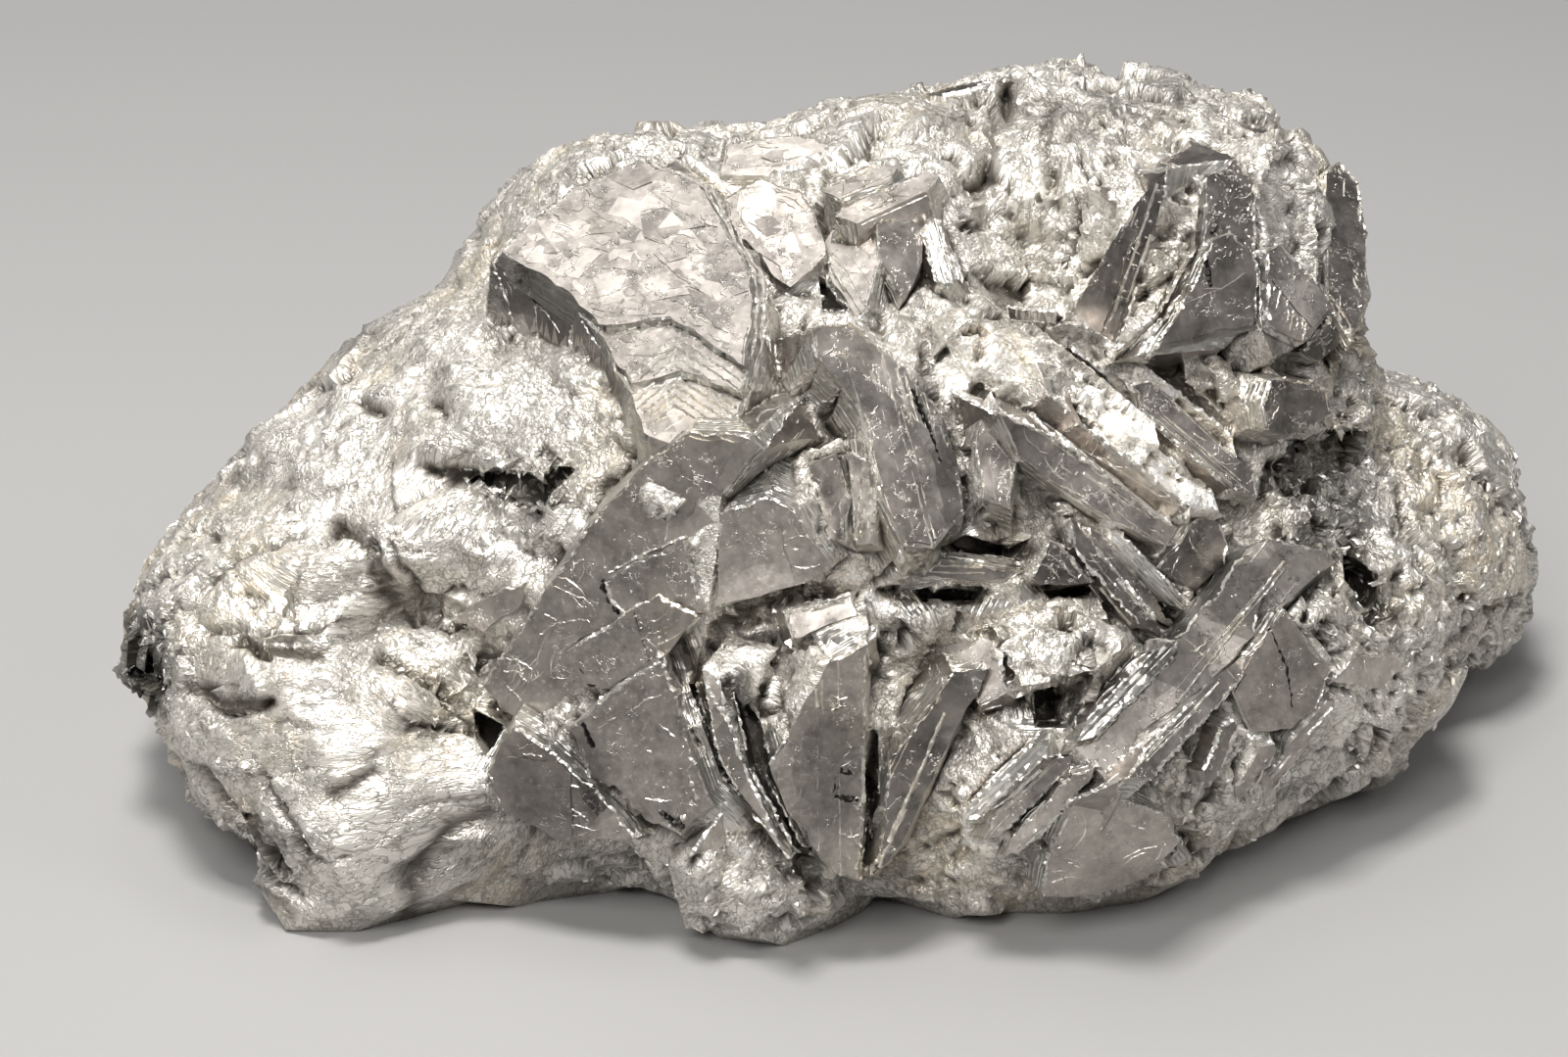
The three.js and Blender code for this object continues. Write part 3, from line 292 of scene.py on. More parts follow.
# ---------------------------------------------------------------- random cells
def cell_random(cells, salt):
    """Four numbers from 0 to 1 for each whole-number cell, always the same for one salt."""
    wrapped = cells.astype(np.int64)
    key = wrapped[:, 0] * 73856093 ^ wrapped[:, 1] * 19349663 ^ wrapped[:, 2] * 83492791
    key = (key ^ (salt * 2654435761)) & 0xFFFFFFFF
    numbers = []
    for _ in range(4):
        key = (key * 1664525 + 1013904223) & 0xFFFFFFFF
        mixed = (key ^ (key >> 15)) * 2246822519 & 0xFFFFFFFF
        mixed = (mixed ^ (mixed >> 13)) * 3266489917 & 0xFFFFFFFF
        numbers.append((mixed ^ (mixed >> 16)) / 0xFFFFFFFF)
    return np.stack(numbers, axis=1)


def nearest_cells(points, salt):
    """For each point: the offset from its nearest cell seed, that cell's numbers, and the gap to the next."""
    base = np.floor(points).astype(np.int64)
    best = np.full(len(points), 1e9)
    second = np.full(len(points), 1e9)
    offset = np.zeros_like(points)
    traits = np.zeros((len(points), 4))
    for step in product((-1, 0, 1), repeat=3):
        cells = base + np.array(step)
        numbers = cell_random(cells, salt)
        away = points - (cells + numbers[:, :3])
        distance = np.linalg.norm(away, axis=1)
        closer = distance < best
        second = np.where(closer, best, np.minimum(second, distance))
        best = np.where(closer, distance, best)
        offset[closer] = away[closer]
        traits[closer] = cell_random(cells[closer], salt + 71)
    return offset, traits, second - best


def wave_noise(points, salt):
    """A soft, wandering value from about -1 to 1 at each point."""
    draw = np.random.default_rng(salt)
    total = np.zeros(len(points))
    for _ in range(ROUNDS):
        heading = draw.normal(size=3)
        bend = draw.normal(size=3)
        swing = np.sin(points @ bend * 0.6 + draw.uniform(0, 6.3))
        total += np.sin(points @ heading + 1.5 * swing + draw.uniform(0, 6.3))
    return total / ROUNDS * 1.7


def waves(points, salt, count=3):
    """Several soft values at each point, side by side."""
    return np.stack([wave_noise(points, salt + k) for k in range(count)], axis=1)


def unit(rows):
    """Each row at length 1."""
    return rows / np.linalg.norm(rows, axis=1)[:, None]


def in_plane(rows, normals):
    """Each row without its share along the normal."""
    return rows - np.sum(rows * normals, axis=1)[:, None] * normals


def add_object(name, data):
    """A new object in the scene."""
    thing = bpy.data.objects.new(name, data)
    bpy.context.scene.collection.objects.link(thing)
    return thing


# ---------------------------------------------------------------- the fine skin
def hard_border(face):
    """The share of a face's border that bends sharply."""
    lengths = np.array([edge.calc_length() for edge in face.edges])
    hard = np.array([abs(edge.calc_face_angle(math.pi)) > HARD for edge in face.edges])
    return (lengths * hard).sum() / lengths.sum()


def is_crystal(face):
    """Crystal faces are large, flat and many-sided or sharply bordered; the granular mass isn't."""
    area = face.calc_area()
    facing = face.normal.dot(Vector(OUT))
    layout = layout_of(np.array([face.calc_center_median()]))
    if area < 0.9 or face.normal.z < -0.8:
        return False
    if facing > -0.2:
        granular = within(layout, ROUGH_HOLLOWS + SOFT_HOLLOWS + GRANULAR_FACES)[0] > INSIDE
        if granular or layout[0, 0] < -21.3:
            return False
    if len(face.verts) >= 6 and area > CRYSTAL_AREA:
        return True
    return facing > -0.2 and hard_border(face) > 0.85


def skin_start(node):
    """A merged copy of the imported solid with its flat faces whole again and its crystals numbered."""
    bm = bmesh.new()
    bm.from_mesh(node.data)
    bmesh.ops.scale(bm, vec=Vector((1 / MM,) * 3), verts=bm.verts)
    bmesh.ops.remove_doubles(bm, verts=bm.verts, dist=ONE_POINT)
    bmesh.ops.dissolve_limit(
        bm, angle_limit=ONE_FACE, verts=bm.verts, edges=bm.edges, use_dissolve_boundaries=False
    )
    number = bm.faces.layers.int.new("crystal")
    wall = bm.faces.layers.int.new("wall")
    kept = bm.faces.layers.int.new("kept")
    crystals = [None]
    for face in bm.faces:
        middle = layout_of(np.array([face.calc_center_median()]))
        face[kept] = int(hard_border(face) > 0.6 and within(middle, GRANULAR_FACES)[0] < INSIDE)
        if is_crystal(face):
            face[number] = len(crystals)
            outline = np.array([vert.co for vert in face.verts])
            crystals.append((outline, np.array(face.normal), face.calc_area()))
    for edge in bm.edges:
        edge.smooth = edge.calc_face_angle(0) < SHARP
        if not edge.is_manifold or not edge.is_convex:
            continue
        one, two = edge.link_faces
        for face, other in ((one, two), (two, one)):
            steep = abs(face.normal.dot(other.normal)) < 0.8
            larger = face.calc_area() > 1.8 * other.calc_area()
            middle = layout_of(np.array([other.calc_center_median()]))
            foil = within(middle, GRANULAR_FACES)[0] > INSIDE
            if face[number] and steep and larger and len(other.verts) > 3 and not foil:
                other[wall] = face[number]
    for face in bm.faces:
        if face[wall] and face[number]:
            crystals[face[number]] = None
            face[number] = 0
    close_up(bm)
    return bm, crystals


def close_up(bm):
    """Triangles only, with two faces to every edge: slivers go, and the gaps they leave are filled."""
    for _ in range(6):
        bmesh.ops.dissolve_degenerate(bm, dist=SLIVER, edges=bm.edges)
        bmesh.ops.remove_doubles(bm, verts=bm.verts, dist=SLIVER)
        bmesh.ops.triangulate(bm, faces=bm.faces, quad_method="BEAUTY", ngon_method="BEAUTY")
        bmesh.ops.delete(bm, geom=[edge for edge in bm.edges if not edge.link_faces], context="EDGES")
        wrong = {face for edge in bm.edges if len(edge.link_faces) != 2 for face in edge.link_faces}
        if not wrong:
            break
        bmesh.ops.delete(bm, geom=list(wrong), context="FACES")
        highlight_rims = [edge for edge in bm.edges if edge.is_boundary]
        for face in bmesh.ops.holes_fill(bm, edges=highlight_rims, sides=0)["faces"]:
            beside = [other for edge in face.edges for other in edge.link_faces if other is not face]
            if beside:
                face.copy_from(beside[0])
    bmesh.ops.recalc_face_normals(bm, faces=bm.faces)
    bm.verts.index_update()


def longest_edge(edge, number, kept):
    """The edge length wanted at a place: short on the show side, long behind and below."""
    middle = (edge.verts[0].co + edge.verts[1].co) / 2
    if middle.z < 0.4:
        return EDGE_UNDER
    normal = edge.link_faces[0].normal
    facing = normal.y * OUT[1] + normal.z * OUT[2]
    if facing < -0.12 or middle.y > 18:
        return EDGE_BACK
    if all(face[number] for face in edge.link_faces):
        return EDGE_CRYSTAL
    return EDGE_KEPT if all(face[kept] or face[number] for face in edge.link_faces) else EDGE_FRONT


def refine(bm):
    """Splits long edges again and again, the longest first."""
    number, kept = bm.faces.layers.int["crystal"], bm.faces.layers.int["kept"]
    for stage in (8, 4, 2.2, 1.4, 1.0, 1.0):
        long_edges = []
        for edge in bm.edges:
            length = edge.calc_length()
            if length < EDGE_FRONT * stage:
                continue
            if length > longest_edge(edge, number, kept) * stage:
                long_edges.append(edge)
        halve(bm, long_edges)
    close_up(bm)


def halve(bm, long_edges):
    """Splits edges in their middle and turns edges inside flat faces to keep triangles even."""
    bmesh.ops.subdivide_edges(bm, edges=long_edges, cuts=1, use_grid_fill=False)
    bmesh.ops.triangulate(bm, faces=bm.faces, quad_method="BEAUTY", ngon_method="BEAUTY")
    flat = [e for e in bm.edges if e.is_manifold and e.calc_face_angle(0) < 0.01]
    bmesh.ops.beautify_fill(bm, faces=bm.faces, edges=flat, method="ANGLE")


def mesh_arrays(mesh):
    """Points and normals of a mesh, and its triangles, as arrays."""
    count = len(mesh.vertices)
    points = np.empty(count * 3)
    mesh.vertices.foreach_get("co", points)
    normals = np.empty(count * 3)
    mesh.vertex_normals.foreach_get("vector", normals)
    triangles = np.empty(len(mesh.polygons) * 3, dtype=np.int64)
    mesh.loops.foreach_get("vertex_index", triangles)
    return points.reshape(-1, 3), normals.reshape(-1, 3), triangles.reshape(-1, 3)


def face_numbers(mesh, name):
    """A whole number that each face holds."""
    values = np.empty(len(mesh.polygons), dtype=np.int32)
    mesh.attributes[name].data.foreach_get("value", values)
    return values


def share_of(marked, triangles, count):
    """For each point, the share of its triangles that are marked."""
    touch = np.bincount(triangles.ravel(), minlength=count)
    hits = np.bincount(triangles.ravel(), weights=np.repeat(marked, 3), minlength=count)
    return hits / np.maximum(touch, 1)


def relax(points, edges, freedom, rounds):
    """Draws each point towards the middle of its neighbours, as far as its freedom allows."""
    count = len(points)
    degree = np.bincount(edges.ravel(), minlength=count)[:, None]
    for _ in range(rounds):
        total = np.zeros_like(points)
        for axis in range(3):
            total[:, axis] += np.bincount(edges[:, 0], weights=points[edges[:, 1], axis], minlength=count)
            total[:, axis] += np.bincount(edges[:, 1], weights=points[edges[:, 0], axis], minlength=count)
        points = points + (total / degree - points) * freedom[:, None]
    return points


def drawn_out(points, normals):
    """Places in mm, pressed together along the grain, so that patterns laid on them come out long.

    The grain follows the flows of the show side and runs in broken zones elsewhere.
    """
    layout = layout_of(points)
    sway = waves(points / 3, 90)
    offset, traits, _ = nearest_cells((points + 2 * sway) / 8, 61)
    grain = unit(traits[:, :3] - 0.5)
    along = np.sum(offset * 8 * grain, axis=1)[:, None] * grain
    for across, up, wide, tall, run in FLOWS:
        pull = near(layout, across, up, wide, tall)[:, None]
        grain = math.cos(run) * ACROSS + math.sin(run) * UP
        middle = PLANE_ORIGIN + across * ACROSS + up * UP
        reach = (points + 0.5 * sway - middle) @ grain
        along = along * (1 - pull) + pull * reach[:, None] * grain
    stretch = 0.3 + 0.45 * within(layout, SILKY)
    return points - along * stretch[:, None]


def creases(points, normals):
    """Depth in mm of the creases at each point of the show side."""
    layout = layout_of(points)
    place = layout[:, :2] + 0.35 * waves(points / 1.1, 210, 2)
    depth = np.zeros(len(points))
    for deep, half, path in CREASES:
        path = np.array(path)
        gap = np.full(len(points), 1e9)
        for start, end in zip(path[:-1], path[1:]):
            run = end - start
            t = np.clip(((place - start) @ run) / (run @ run), 0, 1)
            gap = np.minimum(gap, np.linalg.norm(place - start - t[:, None] * run, axis=1))
        depth = np.maximum(depth, deep * np.exp(-((gap / half) ** 1.6)))
    return depth * (normals @ OUT > 0)


def relief(points, normals, drawn):
    """How far each point of the granular mass moves out, in mm: broken facets, pits and creases."""
    coarse = crystalline(points, normals)
    height = np.zeros(len(points))
    for size, silky, broken, salt in ((4.2, 0.15, 0.42, 5), (2.0, 0.16, 0.4, 11), (0.95, 0.12, 0.24, 23)):
        offset, traits, _ = nearest_cells(drawn / size, salt)
        tilt = silky + (broken - silky) * coarse
        slope = (traits[:, :3] - 0.5) * 2 * tilt[:, None]
        height += np.sum(offset * slope, axis=1) * size * 0.8
    layout = layout_of(points)
    lumpy = ramp(layout[:, 0], 35, 38) * (normals @ OUT > -0.5)
    offset, traits, _ = nearest_cells(points / 1.3, 47)
    height += lumpy * (0.45 - 0.75 * np.linalg.norm(offset, axis=1)) * (0.5 + traits[:, 0])
    height -= 0.12
    return np.clip(height - creases(points, normals), DEEPEST, HIGHEST)


def press_flat(points, triangles, crystal, crystals):
    """Presses what just breaks through a crystal's face back into it."""
    for oval in PRESSED:
        pull = near(layout_of(points), *oval)
        inner = pull[triangles].min(axis=1) > 0
        number = np.bincount(crystal[inner & (crystal > 0)]).argmax()
        outline, normal, _ = crystals[number]
        rise = (points - outline[0]) @ normal
        pull = np.minimum(pull * 2, 1) * (rise > -0.2) * (rise < 0.7)
        points = points - (rise * pull)[:, None] * normal
        flat = (np.abs(rise * (1 - pull))[triangles] < 0.04).all(axis=1) & inner
        crystal = np.where(flat, number, crystal)
    return points, crystal


def loosened(points, normals, edges, fixed, sharp):
    """The granular mass without its coarse facets; crystals, their walls and sharp edges stay."""
    freedom = np.where(~fixed & (points[:, 2] > 0.3), np.where(sharp > 0, 0.12, 0.5), 0.0)
    soft = within(layout_of(points), SOFT_HOLLOWS) * (normals @ OUT > -0.3)
    points = relax(points, edges, np.maximum(freedom * (1 - crystalline(points, normals)), soft * 0.5), 22)
    return relax(points, edges, freedom, 4)


def planes_of(crystals):
    """The normal of each crystal's plane and how far out it lies."""
    planes = np.zeros((len(crystals), 4))
    for k, known in enumerate(crystals):
        if known:
            planes[k] = [*known[1], known[1] @ known[0][0]]
    return planes


def borders(triangles, crystal, on_crystal):
    """Which points lie on the border of one crystal alone, and the number of that crystal."""
    count = len(on_crystal)
    lowest, highest = np.full(count, crystal.max() + 1), np.zeros(count, dtype=np.int64)
    for corner in triangles[crystal > 0].T:
        np.minimum.at(lowest, corner, crystal[crystal > 0])
        np.maximum.at(highest, corner, crystal[crystal > 0])
    return (on_crystal < 1) & (lowest == highest), highest


def hollowness(moved, points, normals, edges):
    """How far each point lies in a hollow: up to 1 in the deepest, below 0 on ridges."""
    freedom = np.full(len(moved), 0.5)
    spread = relax(moved, edges, freedom, 10)
    hollow = np.sum((spread - moved) * normals, axis=1) / 0.4
    spread = relax(spread, edges, freedom, 60)
    hollow = np.maximum(hollow, np.sum((spread - moved) * normals, axis=1) / 1.2)
    hollow = np.maximum(hollow, creases(points, normals) / 0.7)
    hollow *= 0.45 + 0.55 * ramp(normals @ OUT, -0.5, 0.1)
    return np.clip(hollow, -1, 1)


def face_values(mesh, moved, normals, triangles, owner, planes):
    """What the materials read from each face: painted light and shade, tone, and height over its crystal's
    plane.
    """
    middles, facing = moved[triangles].mean(axis=1), normals[triangles].mean(axis=1)
    add_values(mesh, "shade", "FLOAT", "FACE", painted_light_and_shade_at(middles, facing))
    chance = np.random.default_rng(SEED).uniform(0.25, 0.75, len(planes))
    add_values(mesh, "tone", "FLOAT", "FACE", chance[owner])
    plane = planes[owner]
    layer = np.einsum("fkc,fc->fk", moved[triangles], plane[:, :3]) - plane[:, 3:]
    add_values(mesh, "layer", "FLOAT", "CORNER", layer)


def skin_mesh(bm):
    """The refined skin as an object, and which of its points lie on sharp edges."""
    sharp = np.zeros(len(bm.verts))
    for edge in bm.edges:
        if not edge.smooth:
            sharp[edge.verts[0].index] = 1
            sharp[edge.verts[1].index] = 1
        edge.smooth = True
    mesh = bpy.data.meshes.new("pyrite_skin")
    bm.to_mesh(mesh)
    bm.free()
    return add_object("pyrite_skin", mesh), sharp


def make_skin(node):
    """The fine skin in place of the solid, and its crystals: outline, normal and area of each."""
    bm, crystals = skin_start(node)
    refine(bm)
    skin, sharp = skin_mesh(bm)
    mesh = skin.data
    points, normals, triangles = mesh_arrays(mesh)
    count = len(points)
    crystal, wall, kept = (face_numbers(mesh, name) for name in ("crystal", "wall", "kept"))
    points, crystal = press_flat(points, triangles, crystal, crystals)
    on_crystal = share_of(crystal > 0, triangles, count)
    on_wall = share_of(((wall > 0) | (kept > 0)) & (crystal == 0), triangles, count)
    edges = np.empty(len(mesh.edges) * 2, dtype=np.int64)
    mesh.edges.foreach_get("vertices", edges)
    edges = edges.reshape(-1, 2)
    points = loosened(points, normals, edges, (on_crystal > 0) | (on_wall > 0), sharp)
    mesh.vertices.foreach_set("co", points.ravel())
    mesh.update()

    points, normals, triangles = mesh_arrays(mesh)
    drawn = drawn_out(points, normals)
    rough = np.where(on_crystal > 0, 0.0, np.where(on_wall > 0, 0.15, 1.0))
    settle = np.clip((points[:, 2] - 0.3) / 1.5, 0, 1)
    moved = points + normals * (relief(points, normals, drawn) * rough * settle)[:, None]
    # ragged edges: the whole skin shivers a little sideways
    shiver = in_plane(waves(points / 0.7, 300) * 0.05, normals)
    moved = moved + shiver * (settle * (on_crystal == 0))[:, None]
    planes = planes_of(crystals)
    border, number = borders(triangles, crystal, on_crystal)
    moved[border] += ragged(points[border], planes[number[border], :3]) * settle[border, None]
    moved = np.clip(moved, BOX_LOW, BOX_HIGH)
    mesh.vertices.foreach_set("co", (moved * MM).ravel())

    add_values(mesh, "drawn", "FLOAT_VECTOR", "POINT", drawn)
    # the hollow value darkens the hollows in the materials as painted shade
    add_values(mesh, "hollow", "FLOAT", "POINT", hollowness(moved, points, normals, edges))
    add_values(mesh, "coarse", "FLOAT", "POINT", crystalline(points, normals))
    face_values(mesh, moved, normals, triangles, np.where(crystal > 0, crystal, wall), planes)
    kind = np.where(crystal > 0, 1, np.where(wall > 0, 2, 0)).astype(np.int32)
    mesh.polygons.foreach_set("material_index", kind)
    mesh.update()
    return skin, [known for known in crystals if known]


def ragged(points, normals):
    """Small steps within flat faces, always the same at one place, that chip the faces' borders."""
    return in_plane(0.17 * waves(points / 0.9, 340) + 0.1 * waves(points / 0.35, 350), normals)


def painted_light_and_shade_at(points, normals):
    """How much darker or brighter the surface is painted at each point: painted light and shade, in places
    also the rock's own tone.
    """
    layout = layout_of(points)
    shade = np.ones(len(points))
    for across, up, wide, tall, steepest, factor in PAINTED_LIGHT_AND_SHADE:
        pull = near(layout, across, up, wide, tall) * (normals[:, 2] < steepest) * (normals @ OUT > 0)
        shade = shade * (1 - pull) + pull * factor
    return shade


def add_values(mesh, name, kind, domain, values):
    """Stores one value for each point, corner or face."""
    attribute = mesh.attributes.new(name, kind, domain)
    key = "vector" if kind == "FLOAT_VECTOR" else "value"
    attribute.data.foreach_set(key, np.asarray(values, dtype=np.float32).ravel())


# ---------------------------------------------------------------- growth marks on the crystals
def plane_frame(outline, normal):
    """Two unit directions in a crystal's face, the first along its longest side."""
    sides = np.roll(outline, -1, axis=0) - outline
    longest = sides[np.argmax(np.linalg.norm(sides, axis=1))]
    first = longest / np.linalg.norm(longest)
    return first, np.cross(normal, first)


class Flat:
    """A crystal's face laid flat: its middle, two directions in it, and its outline along them."""

    def __init__(self, outline, normal):
        self.first, self.second = plane_frame(outline, normal)
        self.centre = outline.mean(axis=0)
        away = outline - self.centre
        self.outline = np.stack([away @ self.first, away @ self.second], axis=1)
        self.low, self.high = self.outline.min(axis=0), self.outline.max(axis=0)

    def place(self, spots):
        """Flat spots as places in space."""
        return self.centre + spots[:, :1] * self.first + spots[:, 1:] * self.second


def turned(angle):
    """What turns rows of flat spots by an angle."""
    return np.array([[math.cos(angle), math.sin(angle)], [-math.sin(angle), math.cos(angle)]])


def inside(spots, polygon):
    """Which flat spots lie inside a polygon."""
    hits = np.zeros(len(spots), dtype=bool)
    for start, end in zip(polygon, np.roll(polygon, -1, axis=0)):
        crosses = (start[1] > spots[:, 1]) != (end[1] > spots[:, 1])
        rise = end[1] - start[1] if end[1] != start[1] else 1e-9
        meets = (end[0] - start[0]) * (spots[:, 1] - start[1]) / rise + start[0]
        hits ^= crosses & (spots[:, 0] < meets)
    return hits


def mark(line, normal, width):
    """A line with a crystal's normal and a width at each of its points."""
    return line, np.repeat(normal[None], len(line), axis=0), width


def growth_arcs(crystals, draw):
    """Families of short nested arcs on the crystals: stations, their normals and widths."""
    arcs = []
    for outline, normal, area in crystals:
        if normal[2] < MARKED:
            continue
        flat = Flat(outline, normal)
        lean = draw.uniform(-0.3, 0.3)
        for _ in range(int(area / 3)):
            middle = draw.uniform(flat.low, flat.high)
            turn = draw.choice([0, 0, math.pi / 2, math.pi]) + lean + draw.normal() * 0.25
            radius = draw.uniform(0.8, 2.6)
            for nested in range(draw.integers(1, 4)):
                reach = radius + nested * draw.uniform(0.35, 0.7)
                sweep = draw.uniform(0.5, 1.3) / (1 + 0.2 * nested)
                t = np.linspace(-0.5, 0.5, 9)
                angle = t * sweep + draw.normal() * 0.1
                bow = np.stack([np.sin(angle), np.cos(angle)], axis=1) * reach
                bow += 0.03 * draw.normal(size=bow.shape)
                spots = middle + (bow - [0, radius]) @ turned(turn)
                keep = inside(spots * 1.04, flat.outline)
                if keep.sum() < 6 or not keep[1:-1].all():
                    continue
                line = flat.place(spots)
                width = 0.15 * np.sqrt(1.02 - (2 * t) ** 2) * draw.uniform(0.6, 1.3)
                arcs.append(mark(line, normal, width))
    return arcs


def on_layout(path, plane, reach):
    """Places in space on a plane, as seen at a path of the layout."""
    towards = 1 / (VIEW_DISTANCE / MM)
    flat = path[:, :1] * ACROSS + path[:, 1:] * UP
    start = PLANE_ORIGIN + flat
    run = OUT - flat * towards
    out = (reach - start @ plane) / (run @ plane)
    return start + out[:, None] * run


def laid_lines(crystals, draw, paths, wide):
    """Lines along the paths of the layout, laid on whichever crystal faces the viewer there."""
    facing = [(outline, normal) for outline, normal, _ in crystals if normal @ OUT > 0.2]
    seen = [(layout_of(outline)[:, :2], outline, normal) for outline, normal in facing]
    lines = []
    for path in paths:
        path = np.array(path, dtype=float)
        stops = np.concatenate([[0], np.cumsum(np.linalg.norm(np.diff(path, axis=0), axis=1))])
        at = np.linspace(0, stops[-1], max(5, int(stops[-1] / 0.16)))
        spots = np.stack([np.interp(at, stops, path[:, k]) for k in range(2)], axis=1)
        spots += 0.035 * draw.normal(size=spots.shape)
        owner, depth = np.full(len(spots), -1), np.full(len(spots), -1e9)
        places = np.zeros((len(spots), 3))
        for k, (flat, outline, normal) in enumerate(seen):
            found = on_layout(spots, normal, outline[0] @ normal)
            out = (found - PLANE_ORIGIN) @ OUT
            better = inside(spots, flat) & (out > depth)
            owner[better], depth[better], places[better] = k, out[better], found[better]
        for run in np.split(np.arange(len(spots)), np.flatnonzero(np.diff(owner)) + 1):
            if len(run) < 4 or owner[run[0]] < 0:
                continue
            swell = 0.7 + 0.3 * np.sin(np.linspace(0, math.pi, len(run)))
            width = wide * swell * draw.uniform(0.7, 1.3, len(run))
            lines.append(mark(places[run], seen[owner[run[0]]][2], width))
    return lines


def striae(crystals, draw):
    """Long fine steps that run along the narrow crystals."""
    lines = []
    for outline, normal, area in crystals:
        if normal @ OUT < 0.2 or area < 4 or layout_of(outline)[:, 0].mean() < 1:
            continue
        flat = Flat(outline, normal)
        long, wide = flat.high - flat.low
        if long < 2.2 * wide:
            continue
        for _ in range(2 + int(wide / 0.5)):
            start, end = np.sort(draw.uniform(flat.low[0], flat.high[0], 2))
            if end - start < 1.4:
                continue
            at = np.linspace(start, end, int((end - start) / 0.35) + 2)
            sway = np.cumsum(0.02 * draw.normal(size=len(at)))
            spots = np.stack([at, draw.uniform(flat.low[1], flat.high[1]) + sway], axis=1)
            spots = spots[inside(spots, flat.outline)]
            if len(spots) < 5:
                continue
            line = flat.place(spots)
            width = 0.2 * draw.uniform(0.5, 1.5) * draw.uniform(0.6, 1.3, len(line))
            lines.append(mark(line, normal, width))
    return lines


def highlight_rims(crystals, draw):
    """Chipped rims along the upper borders of the crystals: real ridges, laid bright only on the upper side
    where light catches them, a painted highlight.
    """
    lines = []
    for outline, normal, area in crystals:
        if normal[2] < MARKED or area < 3:
            continue
        for start, end in zip(outline, np.roll(outline, -1, axis=0)):
            length = np.linalg.norm(end - start)
            outward = np.cross(end - start, normal) / max(length, 1e-6)
            if length < 1.2 or outward @ UP < -0.35 or draw.random() < 0.15:
                continue
            t = np.linspace(0.03, 0.97, int(length / 0.22) + 2)[:, None]
            line = start + (end - start) * t
            line = line + ragged(line, normal[None]) - outward * draw.uniform(0.02, 0.12)
            line = line + 0.035 * draw.normal(size=line.shape)
            width = 0.18 * np.clip(draw.normal(1, 0.5, len(t)), 0.2, 2.0) * draw.uniform(0.6, 1.2)
            lines.append(mark(line, normal, width))
    return lines


def ridges(name, lines, seed, rise=0.55):
    """One joined mesh of thin closed ridges along many lines."""
    points, faces, tones = [], [], []
    start = 0
    draw = np.random.default_rng(seed)
    for line, normal, width in lines:
        run = np.gradient(line, axis=0)
        side = unit(np.cross(normal, run))
        low = line - normal * 0.05
        rows = [low + side * width[:, None] / 2, line + normal * width[:, None] * rise]
        rows.append(low - side * width[:, None] / 2)
        points.append(np.stack(rows, axis=1).reshape(-1, 3))
        count = len(line)
        for k in range(count - 1):
            a, b = start + 3 * k, start + 3 * k + 3
            faces += [(a, a + 1, b + 1, b), (a + 1, a + 2, b + 2, b + 1), (a + 2, a, b, b + 2)]
        last = start + 3 * (count - 1)
        faces += [(start, start + 2, start + 1), (last, last + 1, last + 2)]
        tones += [draw.random()] * (3 * (count - 1) + 2)
        start += 3 * count
    return mesh_piece(name, np.concatenate(points), faces, tones)


def mesh_piece(name, points, faces, tones):
    """A piece from points in mm, kept inside the solid's box, with what its material reads."""
    mesh = bpy.data.meshes.new(name)
    points = np.clip(points, BOX_LOW, BOX_HIGH)
    mesh.from_pydata(points * MM, [], faces)
    add_values(mesh, "tone", "FLOAT", "FACE", tones)
    corners = np.array([points[face[0]] for face in faces])
    # painted light and shade of the show side, as seen from the front
    add_values(mesh, "shade", "FLOAT", "FACE", painted_light_and_shade_at(corners, np.tile(OUT, (len(corners), 1))))
    add_values(mesh, "drawn", "FLOAT_VECTOR", "POINT", points)
    add_values(mesh, "coarse", "FLOAT", "POINT", np.ones(len(points)))
    return add_object(name, mesh)


def growth_sheets(name, crystals, draw):
    """Thin sheets on the broad crystals: each covers part of its face and ends in a ragged step."""
    whole = bmesh.new()
    tone_layer = whole.faces.layers.float.new("tone")
    shade_layer = whole.faces.layers.float.new("shade")
    for outline, normal, area in crystals:
        if normal @ OUT < 0.25 or area < 16 or normal[2] > 0.8 or draw.random() < 0.4:
            continue
        first, second = plane_frame(outline, normal)
        centre = outline.mean(axis=0)
        sheet = bmesh.new()
        corners = centre + (outline - centre) * draw.uniform(0.86, 0.97)
        sheet.faces.new([sheet.verts.new(place) for place in corners])
        for heading in (first, second):
            heading = heading * draw.choice([-1, 1]) + 0.25 * draw.normal() * (first + second)
            reach = np.abs((outline - centre) @ heading).max() * draw.uniform(0.0, 0.75)
            bmesh.ops.bisect_plane(
                sheet, geom=sheet.verts[:] + sheet.edges[:] + sheet.faces[:], dist=0.001,
                plane_co=centre + heading * reach, plane_no=heading, clear_outer=True
            )
        add_sheet(whole, sheet, normal, draw.uniform(0.08, 0.14), tone_layer, draw)
    for _ in range(5):
        halve(whole, [edge for edge in whole.edges if edge.calc_length() > SHEET_EDGE])
    # painted light and shade on each face of the sheets
    for face in whole.faces:
        place, facing = np.array([face.calc_center_median()]), np.array([face.normal])
        face[shade_layer] = painted_light_and_shade_at(place, facing)[0]
    mesh = bpy.data.meshes.new(name)
    bmesh.ops.scale(whole, vec=Vector((MM,) * 3), verts=whole.verts)
    whole.to_mesh(mesh)
    whole.free()
    return add_object(name, mesh)


